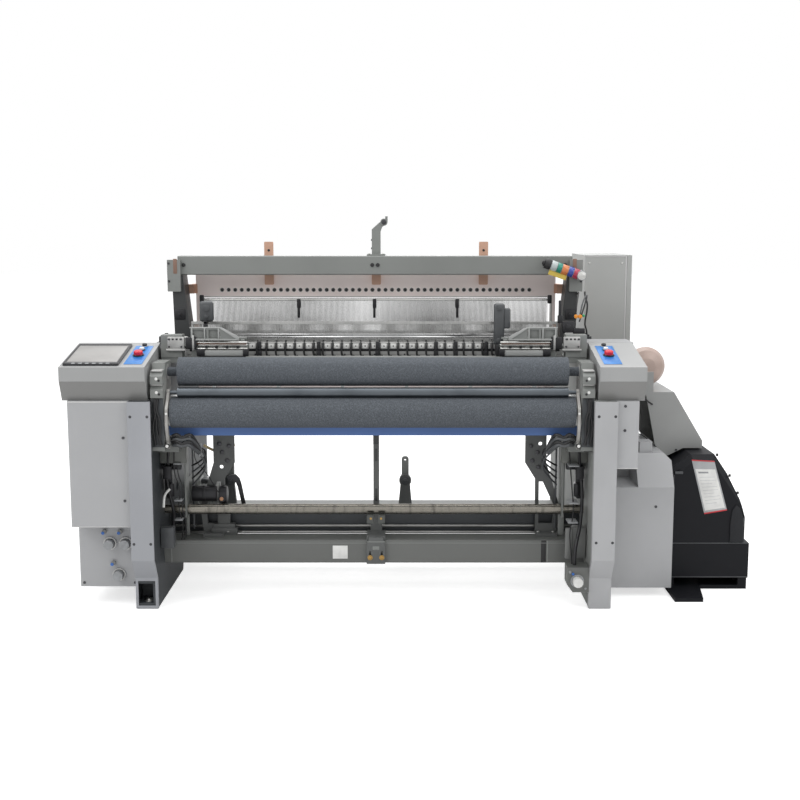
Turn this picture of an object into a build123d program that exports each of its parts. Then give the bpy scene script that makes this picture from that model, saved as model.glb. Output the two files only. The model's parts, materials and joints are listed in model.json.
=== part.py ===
from build123d import *
import math
import os

# Power loom, millimetres. Seen from the front, +X is right, +Y is backwards and +Z is up.
# The origin is on the floor, in the middle of the four anchor holes of the feet.

# Clearances
seat_gap = 0.3
running_gap = 0.5
shaft_clearance = 0.05
sheet = 3.0

# Standing frame
anchor_spacing_x = 2032.0
anchor_hole_radius = 11.0
anchor_setback = 110.0
anchor_rear = 100.0
post_width = 100.0
post_top = 950.0
foot_height = 143.0
bevel_top = 240.0
foot_setback = 65.0
frame_length = 1510.0
frame_top = 1147.0
console_bay = 366.0
web = 18.0
rib = 22.0
flange = 26.0
arch_start = 700.0
arch_rear = 330.0
arch_height = 170.0
rear_rib_share = 0.357

# Rollers, each with its setback from the front, its height and its radius
take_up_setback, take_up_height, take_up_radius = 115.0, 887.0, 68.5
guide_setback, guide_rise, guide_radius = 165.0, 176.0, 64.0
press_setback, press_radius = 108.0, 22.0
cloth_setback, cloth_height, cloth_radius = 300.0, 405.0, 24.0
rest_inset, rest_height, rest_radius = 80.0, 1085.0, 60.0
take_up_half, guide_half, press_half, cloth_half, rest_half = 893.0, 865.0, 862.0, 862.0, 900.0
roller_wall = 10.0
journal_radius = 20.0
journal_bore = 8.0

# Girder, columns and harness
girder_half, girder_setback, girder_depth = 940.0, 600.0, 110.0
girder_bottom, girder_top, girder_wall = 1475.0, 1565.0, 4.0
end_plate_width, end_plate_height, end_plate_thickness = 62.0, 150.0, 22.0
plug_radius, plug_spacing, plug_height = 11.0, 26.0, 1522.0
column_width, column_depth = 52.0, 120.0
column_foot_inner, column_foot_outer, column_foot_height = 885.0, 1040.0, 33.0
column_low_x, column_low_width = 923.0, 76.0
frame_pitch = 16.0
heald_setback, heald_half, heald_thickness = 745.0, 880.0, 12.0
heald_bottom, heald_top, rail_height, stay_width = 905.0, 1490.0, 130.0, 16.0
heald_holes, heald_hole_pitch, heald_hole_radius, heald_hole_rise = 48, 32.0, 9.0, 37.0
guide_plate_width, guide_plate_thickness = 44.0, 10.0
channel_cover, channel_foot = 8.0, 18.0
harness_end, harness_slope = 870.0, 130.0

# Bent arm on the girder
neck_outline = (
    (-16.0, 0.0), (-16.0, 125.0), (20.0, 157.0), (44.0, 170.0), (56.0, 150.0), (34.0, 137.0), (26.0, 115.0),
    (26.0, 0.0),
)
neck_depth, neck_boss_x, neck_boss_rise, neck_boss_radius = 36.0, 42.0, 159.0, 17.0
neck_tip_shift, neck_tip_radius, neck_tip_height = 12.0, 6.0, 28.0
neck_foot_x, neck_foot_width = 5.0, 88.0

# Signal lamp
lamp_pivot_x, lamp_pivot_height, lamp_pin_radius, lamp_base_depth = 975.0, 1474.0, 6.0, 52.0
lamp_radius, lamp_tilt = 24.0, 71.0

# Sley
sley_setback, sley_height = 430.0, 905.0
sley_shaft_radius, sley_half = 42.0, 880.0
reed_setback, reed_height, reed_thickness = 486.0, 112.0, 8.0
reed_gaps, reed_rail = 110, 14.0
bar_setback, bar_depth, bar_rise, bar_height = 462.0, 66.0, 187.0, 58.0
nozzle_count, nozzle_pitch = 26, 44.0

# Tie beams
tie_setback, tie_depth, tie_bottom, tie_top, tie_wall = 250.0, 130.0, 160.0, 269.0, 8.0
rear_inset, rear_tie_bottom, rear_tie_top = 380.0, 95.0, 228.0

# Consoles
console_front, console_back = 0.0, 360.0
console_bottom, console_lip, console_band = post_top + seat_gap, 1101.0, 1041.0
console_rear_top = 1174.0
left_console_outer, console_inner = 1356.0, 984.0
right_console_outer = 1187.0
console_taper = 40.0
screen_width, screen_height, screen_thickness = 243.0, 300.0, 9.0
estop_radius, estop_travel = 20.0, 5.0
button_radius, button_travel = 11.0, 3.0

# Covers
cover_bottom, left_cover_outer, left_cover_depth = 390.0, 1332.0, 860.0
cover_setback = 20.0
lower_panel_setback, lower_panel_bottom = 120.0, 88.0
side_panel_outer, side_panel_bottom = 1162.0, 650.0
lower_cover_outer, lower_cover_setback, lower_cover_depth = 1378.0, 250.0, 640.0
lower_cover_bottom, lower_cover_fold, lower_cover_top = 42.0, 517.0, 660.0
lower_cover_lean, lower_cover_chamfer, lower_cover_step = 95.0, 31.0, 1213.0
upper_cover_setback, upper_cover_depth = 500.0, 380.0
upper_cover_left, upper_cover_top_outer, upper_cover_outer = 1285.0, 1421.0, 1563.0
upper_cover_top, upper_cover_bottom = 925.0, 655.0

# Cabinet
cabinet_outer, cabinet_inset, cabinet_depth = 1276.0, 510.0, 480.0
cabinet_bottom, cabinet_top, door_thickness, door_gap = 120.0, 1560.0, 24.0, 1.0
hinge_radius, hinge_length = 7.0, 70.0

# Drive unit
motor_outer, motor_setback, motor_depth = 1762.0, 350.0, 620.0
motor_bottom, motor_step, motor_wall = 60.0, 228.0, 4.0
belt_width = 40.0

crank_setback, crank_height, crank_shaft_radius, crank_pulley_radius = 600.0, 450.0, 25.0, 105.0
motor_height, motor_radius, motor_pulley_radius, motor_shaft_radius = 190.0, 85.0, 52.0, 14.0
shaft_hole_radius = 30.0

# Press arms
arm_pivot_setback, arm_pivot_height, arm_pin_radius, arm_thickness = 75.0, 748.0, 9.0, 12.0
press_journal_radius, bracket_inner = 8.0, 915.0

# Shedding levers
lever_places = (-733.0, 145.0)
lever_pivot_height, lever_top, lever_pin_radius, lever_setback = 447.0, 545.0, 14.0, 700.0

# Regulators
knob_radius, knob_ring_radius, knob_length, knob_stem_radius = 22.0, 30.0, 34.0, 9.0

# Places that follow from these sizes
anchor_spacing_y = frame_length - anchor_setback - anchor_rear
front = -(anchor_spacing_y / 2 + anchor_setback)
arch_end = frame_length - arch_rear
rest_setback = frame_length - rest_inset
rear_setback = frame_length - rear_inset
cabinet_setback = frame_length - cabinet_inset
guide_height = take_up_height + guide_rise
bar_bottom = sley_height + bar_rise
bar_top = bar_bottom + bar_height
reed_bottom = bar_top
reed_top = reed_bottom + reed_height
post_x = anchor_spacing_x / 2
frame_width = post_width - 2 * (sheet + seat_gap)
frame_inner = post_x - frame_width / 2
frame_outer = post_x + frame_width / 2
cover_inner = post_x + post_width / 2 + seat_gap
hood_inner = frame_outer + seat_gap
motor_inner = lower_cover_outer + seat_gap
press_reach = take_up_radius + press_radius + seat_gap
press_height = take_up_height + math.sqrt(press_reach**2 - (take_up_setback - press_setback) ** 2)
panel_slope = math.degrees(math.atan2(console_rear_top - console_lip, console_back - console_front))

os.makedirs("parts", exist_ok=True)


def setback(distance):
    """The Y place at a distance behind the front plane."""
    return front + distance


def write(piece, name):
    """Labels a finished piece and writes its file."""
    piece.part.label = name
    export_step(piece.part, f"parts/{name}.step")


def front_profile(inset):
    """The post's front line from top to foot, moved back by an inset."""
    return [
        (setback(inset), post_top),
        (setback(inset), bevel_top),
        (setback(foot_setback + inset), foot_height),
        (setback(foot_setback + inset), 0),
    ]


# Side castings: an inner web with a flange all round, ribs, foot arch and bearing bosses
def side_casting(side):
    """One cast side frame. The web faces the weaving room and the ribs face outwards."""
    casting_front = sheet + seat_gap
    rear = setback(frame_length)
    with BuildPart() as casting:
        with BuildSketch(Plane.YZ.offset(frame_inner)):
            with BuildLine():
                Polyline(
                    (setback(arch_start), 0),
                    (setback(foot_setback + casting_front), 0),
                    (setback(foot_setback + casting_front), foot_height),
                    (setback(casting_front), bevel_top),
                    (setback(casting_front), post_top - seat_gap),
                    (setback(console_bay), post_top - seat_gap),
                    (setback(console_bay), frame_top),
                    (setback(harness_end), frame_top),
                    (setback(harness_end + harness_slope), rest_height - rest_radius),
                    (setback(rest_setback - rest_radius), rest_height - rest_radius),
                    (setback(rest_setback - rest_radius), rest_height + rest_radius),
                    (setback(rest_setback + rest_radius), rest_height + rest_radius),
                    (rear, rest_height - 2 * rest_radius),
                    (rear, 0),
                    (setback(arch_end), 0),
                    (setback(arch_end - arch_height / 3), arch_height),
                    (setback(arch_start + arch_height / 3), arch_height),
                    close=True,
                )
            make_face()
        extrude(amount=frame_width)
        with BuildSketch(Plane.YZ.offset(frame_outer)):
            for left, right, low, high in casting_pockets():
                with Locations(((left + right) / 2, (low + high) / 2)):
                    RectangleRounded(right - left, high - low, rib)
        extrude(amount=-(frame_width - web), mode=Mode.SUBTRACT)
        with BuildSketch(Plane.XZ.offset(-setback(foot_setback + casting_front))):
            with Locations((post_x + web / 2, foot_height / 2)):
                Rectangle(frame_width - web - sheet, foot_height - 2 * flange)
        extrude(amount=-anchor_setback, mode=Mode.SUBTRACT)
        with BuildSketch(Plane.XY):
            with GridLocations(0, anchor_spacing_y, 1, 2):
                with Locations((post_x, 0)):
                    Circle(anchor_hole_radius)
        extrude(amount=flange, mode=Mode.SUBTRACT)
        with BuildSketch(Plane.YZ.offset(frame_inner)):
            with Locations((setback(rest_setback), rest_height), (setback(cloth_setback), cloth_height)):
                Circle(journal_radius + shaft_clearance)
            with Locations((setback(sley_setback), sley_height)):
                Circle(journal_radius + shaft_clearance)
        extrude(amount=web + 12, mode=Mode.SUBTRACT)
        with BuildSketch(Plane.YZ.offset(frame_inner)):
            with Locations((setback(crank_setback), crank_height)):
                Circle(crank_shaft_radius + shaft_clearance)
        extrude(amount=web, mode=Mode.SUBTRACT)
        if side < 0:
            mirror(about=Plane.YZ, mode=Mode.REPLACE)
    return casting


def casting_pockets():
    """The pockets between the ribs: first and last Y, lowest and highest Z of each."""
    first = setback(sheet + seat_gap + flange + foot_setback)
    bay = setback(console_bay)
    middle = setback(arch_start)
    last = setback(frame_length - flange)
    third = middle + rear_rib_share * (last - middle)
    low = arch_height + flange
    waist = cloth_height + 130
    shoulder = post_top - 2 * flange
    return [
        (first, bay - rib, bevel_top + flange, cloth_height - journal_radius - rib),
        (first, bay - rib, cloth_height + journal_radius + rib, waist + 110),
        (first, bay - rib, waist + 110 + rib, shoulder),
        (bay, middle - rib, low, waist),
        (bay + 2 * journal_radius + 2 * rib, middle - rib, waist + rib, shoulder),
        (bay + rib, middle - rib, shoulder + 2 * rib, frame_top - flange),
        (middle, third - rib, low, waist),
        (middle, third - rib, waist + rib, shoulder),
        (middle, third - rib - 90, shoulder + rib, frame_top - 2 * flange),
        (third, last, low, waist),
        (third, last, waist + rib, shoulder),
    ]


right_side_frame = side_casting(1)
write(right_side_frame, "right_side_frame")
left_side_frame = side_casting(-1)
write(left_side_frame, "left_side_frame")


# Tie beams: two hollow cross members that butt against both castings
with BuildPart() as tie_beams:
    for near, low, high in (
        (tie_setback, tie_bottom, tie_top),
        (rear_setback, rear_tie_bottom, rear_tie_top),
    ):
        with BuildSketch(Plane.YZ.offset(-frame_inner)):
            with Locations((setback(near + tie_depth / 2), (low + high) / 2)):
                RectangleRounded(tie_depth, high - low, tie_wall)
                RectangleRounded(
                    tie_depth - 2 * tie_wall, high - low - 2 * tie_wall, tie_wall / 2, mode=Mode.SUBTRACT
                )
        extrude(amount=2 * frame_inner)
write(tie_beams, "tie_beams")

# Columns: tapering legs on foot plates, leaning inwards under the girder's ends
column_x = girder_half + end_plate_width / 2 - 28
with BuildPart() as girder_columns:
    column_y = setback(girder_setback + column_depth / 2)
    for side in (-1, 1):
        with BuildSketch(Plane.XY.offset(frame_top)):
            with Locations((side * (column_foot_inner + column_foot_outer) / 2, column_y)):
                RectangleRounded(column_foot_outer - column_foot_inner, column_depth, 2 * sheet)
        extrude(amount=column_foot_height)
        with BuildSketch(Plane.XY.offset(frame_top + column_foot_height)):
            with Locations((side * column_low_x, column_y)):
                Rectangle(column_low_width, column_depth)
        with BuildSketch(Plane.XY.offset(girder_bottom)):
            with Locations((side * column_x, column_y)):
                Rectangle(column_width, column_depth)
        loft()
write(girder_columns, "girder_columns")

# Girder: a box section with end plates that clamp it to the columns, two plugs and a bent arm in the middle
with BuildPart() as top_girder:
    with BuildSketch(Plane.YZ.offset(-girder_half)):
        with Locations((setback(girder_setback + girder_depth / 2), (girder_bottom + girder_top) / 2)):
            RectangleRounded(girder_depth, girder_top - girder_bottom, girder_wall + 1)
            RectangleRounded(
                girder_depth - 2 * girder_wall,
                girder_top - girder_bottom - 2 * girder_wall,
                girder_wall / 2,
                mode=Mode.SUBTRACT,
            )
    extrude(amount=2 * girder_half)
    with BuildSketch(Plane.XZ.offset(-setback(girder_setback))):
        for side in (-1, 1):
            with Locations((side * (girder_half + end_plate_width / 4), girder_bottom - sheet)):
                RectangleRounded(end_plate_width, end_plate_height, sheet)
    extrude(amount=end_plate_thickness)
    with BuildSketch(Plane.XZ.offset(-setback(girder_setback))):
        with Locations((-plug_spacing / 2, plug_height), (plug_spacing / 2, plug_height)):
            Circle(plug_radius)
            Circle(plug_radius / 2, mode=Mode.SUBTRACT)
    extrude(amount=sheet)
    with BuildSketch(Plane.XZ.offset(-setback(girder_setback - end_plate_thickness))):
        with Locations((lamp_pivot_x, lamp_pivot_height)):
            Circle(lamp_pin_radius)
    extrude(amount=lamp_base_depth + 2 * running_gap)
    arm_y = setback(girder_setback + girder_depth / 2)
    with BuildSketch(Plane.XZ.offset(-arm_y)):
        with BuildLine():
            Polyline(*((x, girder_top + rise) for x, rise in neck_outline), close=True)
        make_face()
    extrude(amount=neck_depth / 2, both=True)
    with BuildSketch(Plane.XZ.offset(-arm_y)):
        with Locations((neck_boss_x, girder_top + neck_boss_rise)):
            Circle(neck_boss_radius)
    extrude(amount=neck_depth / 2 + sheet, both=True)
    with BuildSketch(Plane.XY.offset(girder_top + neck_boss_rise)):
        with Locations((neck_boss_x + neck_tip_shift, arm_y)):
            Circle(neck_tip_radius)
    extrude(amount=neck_tip_height)
    with BuildSketch(Plane.XY.offset(girder_top)):
        with Locations((neck_foot_x, arm_y)):
            RectangleRounded(neck_foot_width, neck_foot_width - 2 * girder_wall, 2 * girder_wall)
    extrude(amount=2 * girder_wall)
write(top_girder, "top_girder")

# Phenolic guides on the girder's back, and grooved blocks for the frames' sides on the columns
frame_group_depth = 4 * frame_pitch
guide_low, guide_tall = 1424.0, 1631.0
side_guide_low, side_guide_high, low_guide_top = 1380.0, 1425.0, 1230.0
side_guide_outer, side_arm_inner, side_arm_outer = 905.0, 885.0, 960.0
with BuildPart() as harness_guides:
    with BuildSketch(Plane.XZ.offset(-setback(girder_setback + girder_depth))):
        for guide_x, guide_top in ((-517.0, guide_tall), (4.0, girder_top), (524.0, guide_tall)):
            with Locations((guide_x, (guide_low + guide_top) / 2)):
                RectangleRounded(guide_plate_width, guide_top - guide_low, guide_plate_thickness / 2)
    extrude(amount=-guide_plate_thickness)
    channel_inner = heald_half - channel_cover
    channel_y = setback(heald_setback + frame_group_depth / 2)
    arm_front, arm_back = girder_setback + column_depth, heald_setback - sheet
    for side in (-1, 1):
        with BuildSketch(Plane.XY.offset(side_guide_low)):
            with Locations((side * (channel_inner + side_guide_outer) / 2, channel_y)):
                Rectangle(side_guide_outer - channel_inner, frame_group_depth + 2 * sheet)
            with Locations(
                (side * (side_arm_inner + side_arm_outer) / 2, setback((arm_front + arm_back) / 2))
            ):
                Rectangle(side_arm_outer - side_arm_inner, arm_back - arm_front)
        extrude(amount=side_guide_high - side_guide_low)
        with BuildSketch(Plane.XY.offset(frame_top)):
            with Locations((side * (channel_inner + frame_inner + web) / 2, channel_y)):
                Rectangle(frame_inner + web - channel_inner, frame_group_depth + 2 * sheet)
        extrude(amount=channel_foot)
        with BuildSketch(Plane.XY.offset(frame_top)):
            with Locations((side * (channel_inner + side_guide_outer) / 2, channel_y)):
                Rectangle(side_guide_outer - channel_inner, frame_group_depth + 2 * sheet)
        extrude(amount=low_guide_top - frame_top)
        with BuildSketch(Plane.XY.offset(frame_top)):
            for lane in range(4):
                lane_y = setback(heald_setback + frame_pitch * lane + heald_thickness / 2)
                with Locations((side * (channel_inner + (channel_cover + running_gap) / 2), lane_y)):
                    Rectangle(channel_cover + running_gap, heald_thickness + 2 * running_gap)
        extrude(amount=girder_bottom - frame_top, mode=Mode.SUBTRACT)
write(harness_guides, "harness_guides")

# Sheet covers
cover_wrap = 150.0
left_return, right_return = 12.0, 30.0
floor_gap = 2.0


def post_cover(side, open_foot, inner_return):
    """A folded channel round the front of a casting, with a short inner return and a bevelled foot."""
    back = setback(cover_wrap)
    with BuildPart() as cover:
        for inset, mode in ((0, Mode.ADD), (sheet, Mode.SUBTRACT)):
            with BuildSketch(Plane.YZ.offset(post_x)):
                with BuildLine():
                    Polyline(*front_profile(inset), (back, 0), (back, post_top), close=True)
                make_face()
            extrude(amount=post_width / 2 - inset, both=True, mode=mode)
        if open_foot:
            with BuildSketch(Plane.XZ.offset(-setback(foot_setback))):
                with Locations((post_x, foot_height / 2)):
                    RectangleRounded(post_width - 3 * sheet, foot_height - 6 * sheet, 2 * sheet)
            extrude(amount=-2 * sheet, mode=Mode.SUBTRACT)
        with BuildSketch(Plane.YZ.offset(post_x - post_width / 2)):
            with BuildLine():
                Polyline(*front_profile(inner_return), (back, 0), (back, post_top), close=True)
            make_face()
        extrude(amount=sheet + seat_gap, mode=Mode.SUBTRACT)
        split(bisect_by=Plane.XY.offset(floor_gap), keep=Keep.TOP)
        if side < 0:
            mirror(about=Plane.YZ, mode=Mode.REPLACE)
    return cover


write(post_cover(-1, True, left_return), "left_post_cover")
write(post_cover(1, False, right_return), "right_post_cover")


def knob_place(x, z, y):
    """The front plane of a panel at a knob, facing forwards."""
    return Plane(origin=(x, y, z), x_dir=(1, 0, 0), z_dir=(0, -1, 0))


knob_places = ((-1187.0, 290.0), (-1116.0, 290.0), (-1150.0, 146.0))

# Left upper cover: a folded box that hides the take-up drive
with BuildPart() as left_upper_cover:
    with BuildSketch(Plane.XY.offset(cover_bottom)):
        with Locations(
            (-(cover_inner + left_cover_outer) / 2, setback(cover_setback + left_cover_depth / 2))
        ):
            Rectangle(left_cover_outer - cover_inner, left_cover_depth)
    extrude(amount=post_top - cover_bottom)
    fillet(left_upper_cover.edges().filter_by(Axis.Z).group_by(Axis.X)[0], 3 * sheet)
    offset(amount=-sheet, openings=left_upper_cover.faces().sort_by(Axis.X)[-1])
write(left_upper_cover, "left_upper_cover")

# Left lower panel: set back under the upper cover, pierced for the three regulators
with BuildPart() as left_lower_panel:
    with BuildSketch(Plane.XY.offset(lower_panel_bottom)):
        with Locations(
            (
                -(cover_inner + left_cover_outer - sheet) / 2,
                setback((lower_panel_setback + cover_setback + left_cover_depth) / 2),
            )
        ):
            Rectangle(
                left_cover_outer - sheet - cover_inner,
                cover_setback + left_cover_depth - lower_panel_setback,
            )
    extrude(amount=cover_bottom - seat_gap - lower_panel_bottom)
    fillet(left_lower_panel.edges().filter_by(Axis.Z).group_by(Axis.X)[0], 3 * sheet)
    offset(amount=-sheet, openings=left_lower_panel.faces().sort_by(Axis.X)[-1])
    for knob_x, knob_z in knob_places:
        with BuildSketch(knob_place(knob_x, knob_z, setback(lower_panel_setback))):
            Circle(knob_ring_radius)
        extrude(amount=2 * sheet)
        with BuildSketch(knob_place(knob_x, knob_z, setback(lower_panel_setback))):
            Circle(knob_stem_radius + shaft_clearance)
        extrude(amount=3 * sheet, both=True, mode=Mode.SUBTRACT)
write(left_lower_panel, "left_lower_panel")

# Right side panel: the narrow cover beside the right post
with BuildPart() as right_side_panel:
    with BuildSketch(Plane.XY.offset(side_panel_bottom)):
        with Locations(((cover_inner + side_panel_outer) / 2, setback(cover_setback + 150))):
            Rectangle(side_panel_outer - cover_inner, 300)
    extrude(amount=post_top - side_panel_bottom)
    fillet(right_side_panel.edges().filter_by(Axis.Z).group_by(Axis.X)[-1], 2 * sheet)
    offset(amount=-sheet, openings=right_side_panel.faces().sort_by(Axis.X)[0])
write(right_side_panel, "right_side_panel")

# Right lower cover: a tall hood whose upper front leans back, stepped on its left, with a small
# housing on top
lower_cover_back = lower_cover_setback + lower_cover_depth
step_depth, housing_x, housing_setback, housing_size = 230.0, 1265.0, 400.0, (60.0, 80.0, 50.0)
with BuildPart() as right_lower_cover:
    with BuildSketch(Plane.YZ.offset(hood_inner)):
        with BuildLine():
            Polyline(
                (setback(lower_cover_setback), lower_cover_bottom),
                (setback(lower_cover_setback), lower_cover_fold),
                (setback(lower_cover_setback + lower_cover_lean), lower_cover_top),
                (setback(lower_cover_back), lower_cover_top),
                (setback(lower_cover_back), lower_cover_bottom),
                close=True,
            )
        make_face()
    extrude(amount=lower_cover_outer - hood_inner)
    chamfer(
        right_lower_cover.edges().filter_by(Axis.Y).group_by(Axis.X)[-1].sort_by(Axis.Z)[-1],
        lower_cover_chamfer,
    )
    with BuildSketch(Plane.XY.offset(lower_cover_fold)):
        with Locations(((hood_inner + lower_cover_step) / 2, setback(lower_cover_setback + step_depth / 2))):
            Rectangle(lower_cover_step - hood_inner, step_depth)
    extrude(amount=lower_cover_top - lower_cover_fold, mode=Mode.SUBTRACT)
    offset(amount=-sheet, openings=right_lower_cover.faces().sort_by(Axis.X)[0])
    with BuildSketch(Plane.XY.offset(lower_cover_top)):
        with Locations((housing_x, setback(housing_setback))):
            RectangleRounded(housing_size[0], housing_size[1], sheet)
    extrude(amount=housing_size[2])
    with BuildSketch(Plane.YZ.offset(lower_cover_outer)):
        with Locations((setback(crank_setback), crank_height)):
            Circle(shaft_hole_radius)
    extrude(amount=-2 * sheet, mode=Mode.SUBTRACT)
write(right_lower_cover, "right_lower_cover")

# Right upper cover: a hood whose left edge slants, whose outer side slopes down, and a raised tab in front
chamfer_line = lower_cover_outer - lower_cover_chamfer + lower_cover_top + seat_gap * math.sqrt(2)
upper_cover_low_left, upper_cover_waist, upper_cover_waist_height = 1338.0, 1306.0, 826.0
upper_cover_toe, tab_top, tab_outer = 1392.0, 1021.0, 1322.0
with BuildPart() as right_upper_cover:
    with BuildSketch(Plane.XZ.offset(-setback(upper_cover_setback))):
        with BuildLine():
            Polyline(
                (upper_cover_left, upper_cover_top),
                (upper_cover_top_outer, upper_cover_top),
                (upper_cover_outer, upper_cover_bottom + 36),
                (upper_cover_outer, upper_cover_bottom),
                (upper_cover_toe + 80, upper_cover_bottom),
                (upper_cover_toe, chamfer_line - upper_cover_toe),
                (upper_cover_low_left, chamfer_line - upper_cover_low_left),
                (upper_cover_waist, upper_cover_waist_height),
                close=True,
            )
        make_face()
    extrude(amount=-upper_cover_depth)
    left_faces = [face for face in right_upper_cover.faces() if face.normal_at().X < -0.9]
    offset(amount=-sheet, openings=left_faces)
    with BuildSketch(Plane.XZ.offset(-setback(upper_cover_setback))):
        with Locations(((upper_cover_left + tab_outer) / 2, (upper_cover_top + tab_top) / 2 - 2 * sheet)):
            Rectangle(tab_outer - upper_cover_left, tab_top - upper_cover_top + 4 * sheet)
    extrude(amount=-4 * sheet)
write(right_upper_cover, "right_upper_cover")

# Right top cover: a tray on the casting between the console and the cabinet
top_cover_height = 24.0
with BuildPart() as right_top_cover:
    with BuildSketch(Plane.XY.offset(frame_top + seat_gap)):
        with Locations((frame_inner + 115, setback((console_bay + girder_setback) / 2 - 2))):
            Rectangle(230, girder_setback - console_bay - 60)
    extrude(amount=top_cover_height)
    offset(amount=-sheet, openings=right_top_cover.faces().sort_by(Axis.Z)[0])
write(right_top_cover, "right_top_cover")


def console_plane(x, along, lift=0.0):
    """A place on a console's sloping panel, by its X and its distance up the slope."""
    slope = math.radians(panel_slope)
    y = setback(console_front) + along * math.cos(slope) - lift * math.sin(slope)
    z = console_lip + along * math.sin(slope) + lift * math.cos(slope)
    return Plane(origin=(x, y, z), x_dir=(1, 0, 0), z_dir=(0, -math.sin(slope), math.cos(slope)))


estop_along = 165.0
start_along, stop_along = 245.0, 305.0
left_button_x, right_button_x = -1043.0, 1046.0
estop_stem_radius, button_stem_radius = 8.0, 7.0
estop_height, button_height = 16, 8


def console(inner, outer, button_x, name):
    """A sheet console: tapered base, upright band and sloping panel with three switch holes."""
    with BuildPart() as shell:
        with BuildSketch(Plane.YZ.offset(min(inner, outer))):
            with BuildLine():
                Polyline(
                    (setback(console_front + console_taper), console_bottom),
                    (setback(console_front), console_band),
                    (setback(console_front), console_lip),
                    (setback(console_back), console_rear_top),
                    (setback(console_back), console_bottom),
                    close=True,
                )
            make_face()
        extrude(amount=abs(outer - inner))
        offset(amount=-sheet, openings=shell.faces().sort_by(Axis.Z)[0])
        for along, radius in (
            (estop_along, estop_stem_radius),
            (start_along, button_stem_radius),
            (stop_along, button_stem_radius),
        ):
            with BuildSketch(console_plane(button_x, along)):
                Circle(2 * radius)
            extrude(amount=sheet)
            with BuildSketch(console_plane(button_x, along)):
                Circle(radius + shaft_clearance)
            extrude(amount=3 * sheet, both=True, mode=Mode.SUBTRACT)
    write(shell, name)


console(-left_console_outer, -console_inner, left_button_x, "left_console")
console(console_inner, right_console_outer, right_button_x, "right_console")

# Touch screen: a bezel with a sunk glass field
with BuildPart() as touch_screen:
    screen_x = -(left_console_outer - 12 - screen_width / 2)
    with BuildSketch(console_plane(screen_x, 20 + screen_height / 2)):
        RectangleRounded(screen_width, screen_height, 8)
    extrude(amount=screen_thickness)
    with BuildSketch(console_plane(screen_x, 20 + screen_height / 2, screen_thickness)):
        RectangleRounded(screen_width - 24, screen_height - 60, 3)
    extrude(amount=-2, mode=Mode.SUBTRACT)
write(touch_screen, "touch_screen")


def push_button(x, along, radius, stem_radius, travel, head, name):
    """A button whose stem runs through its collar, with its travel left under the head."""
    collar = sheet
    with BuildPart() as button:
        with BuildSketch(console_plane(x, along, collar + travel + seat_gap)):
            Circle(radius)
        extrude(amount=head)
        chamfer(button.edges().filter_by(GeomType.CIRCLE).sort_by(Axis.Z)[-1], head / 4)
        with BuildSketch(console_plane(x, along, -4 * sheet)):
            Circle(stem_radius)
        extrude(amount=4 * sheet + collar + travel + seat_gap + head / 4)
    write(button, name)


for side_name, button_x in (("left", left_button_x), ("right", right_button_x)):
    push_button(
        button_x, estop_along, estop_radius, estop_stem_radius, estop_travel, estop_height, f"estop_{side_name}"
    )
    push_button(
        button_x, start_along, button_radius, button_stem_radius, button_travel, button_height,
        f"start_button_{side_name}",
    )
    push_button(
        button_x, stop_along, button_radius, button_stem_radius, button_travel, button_height,
        f"stop_button_{side_name}",
    )

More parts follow.
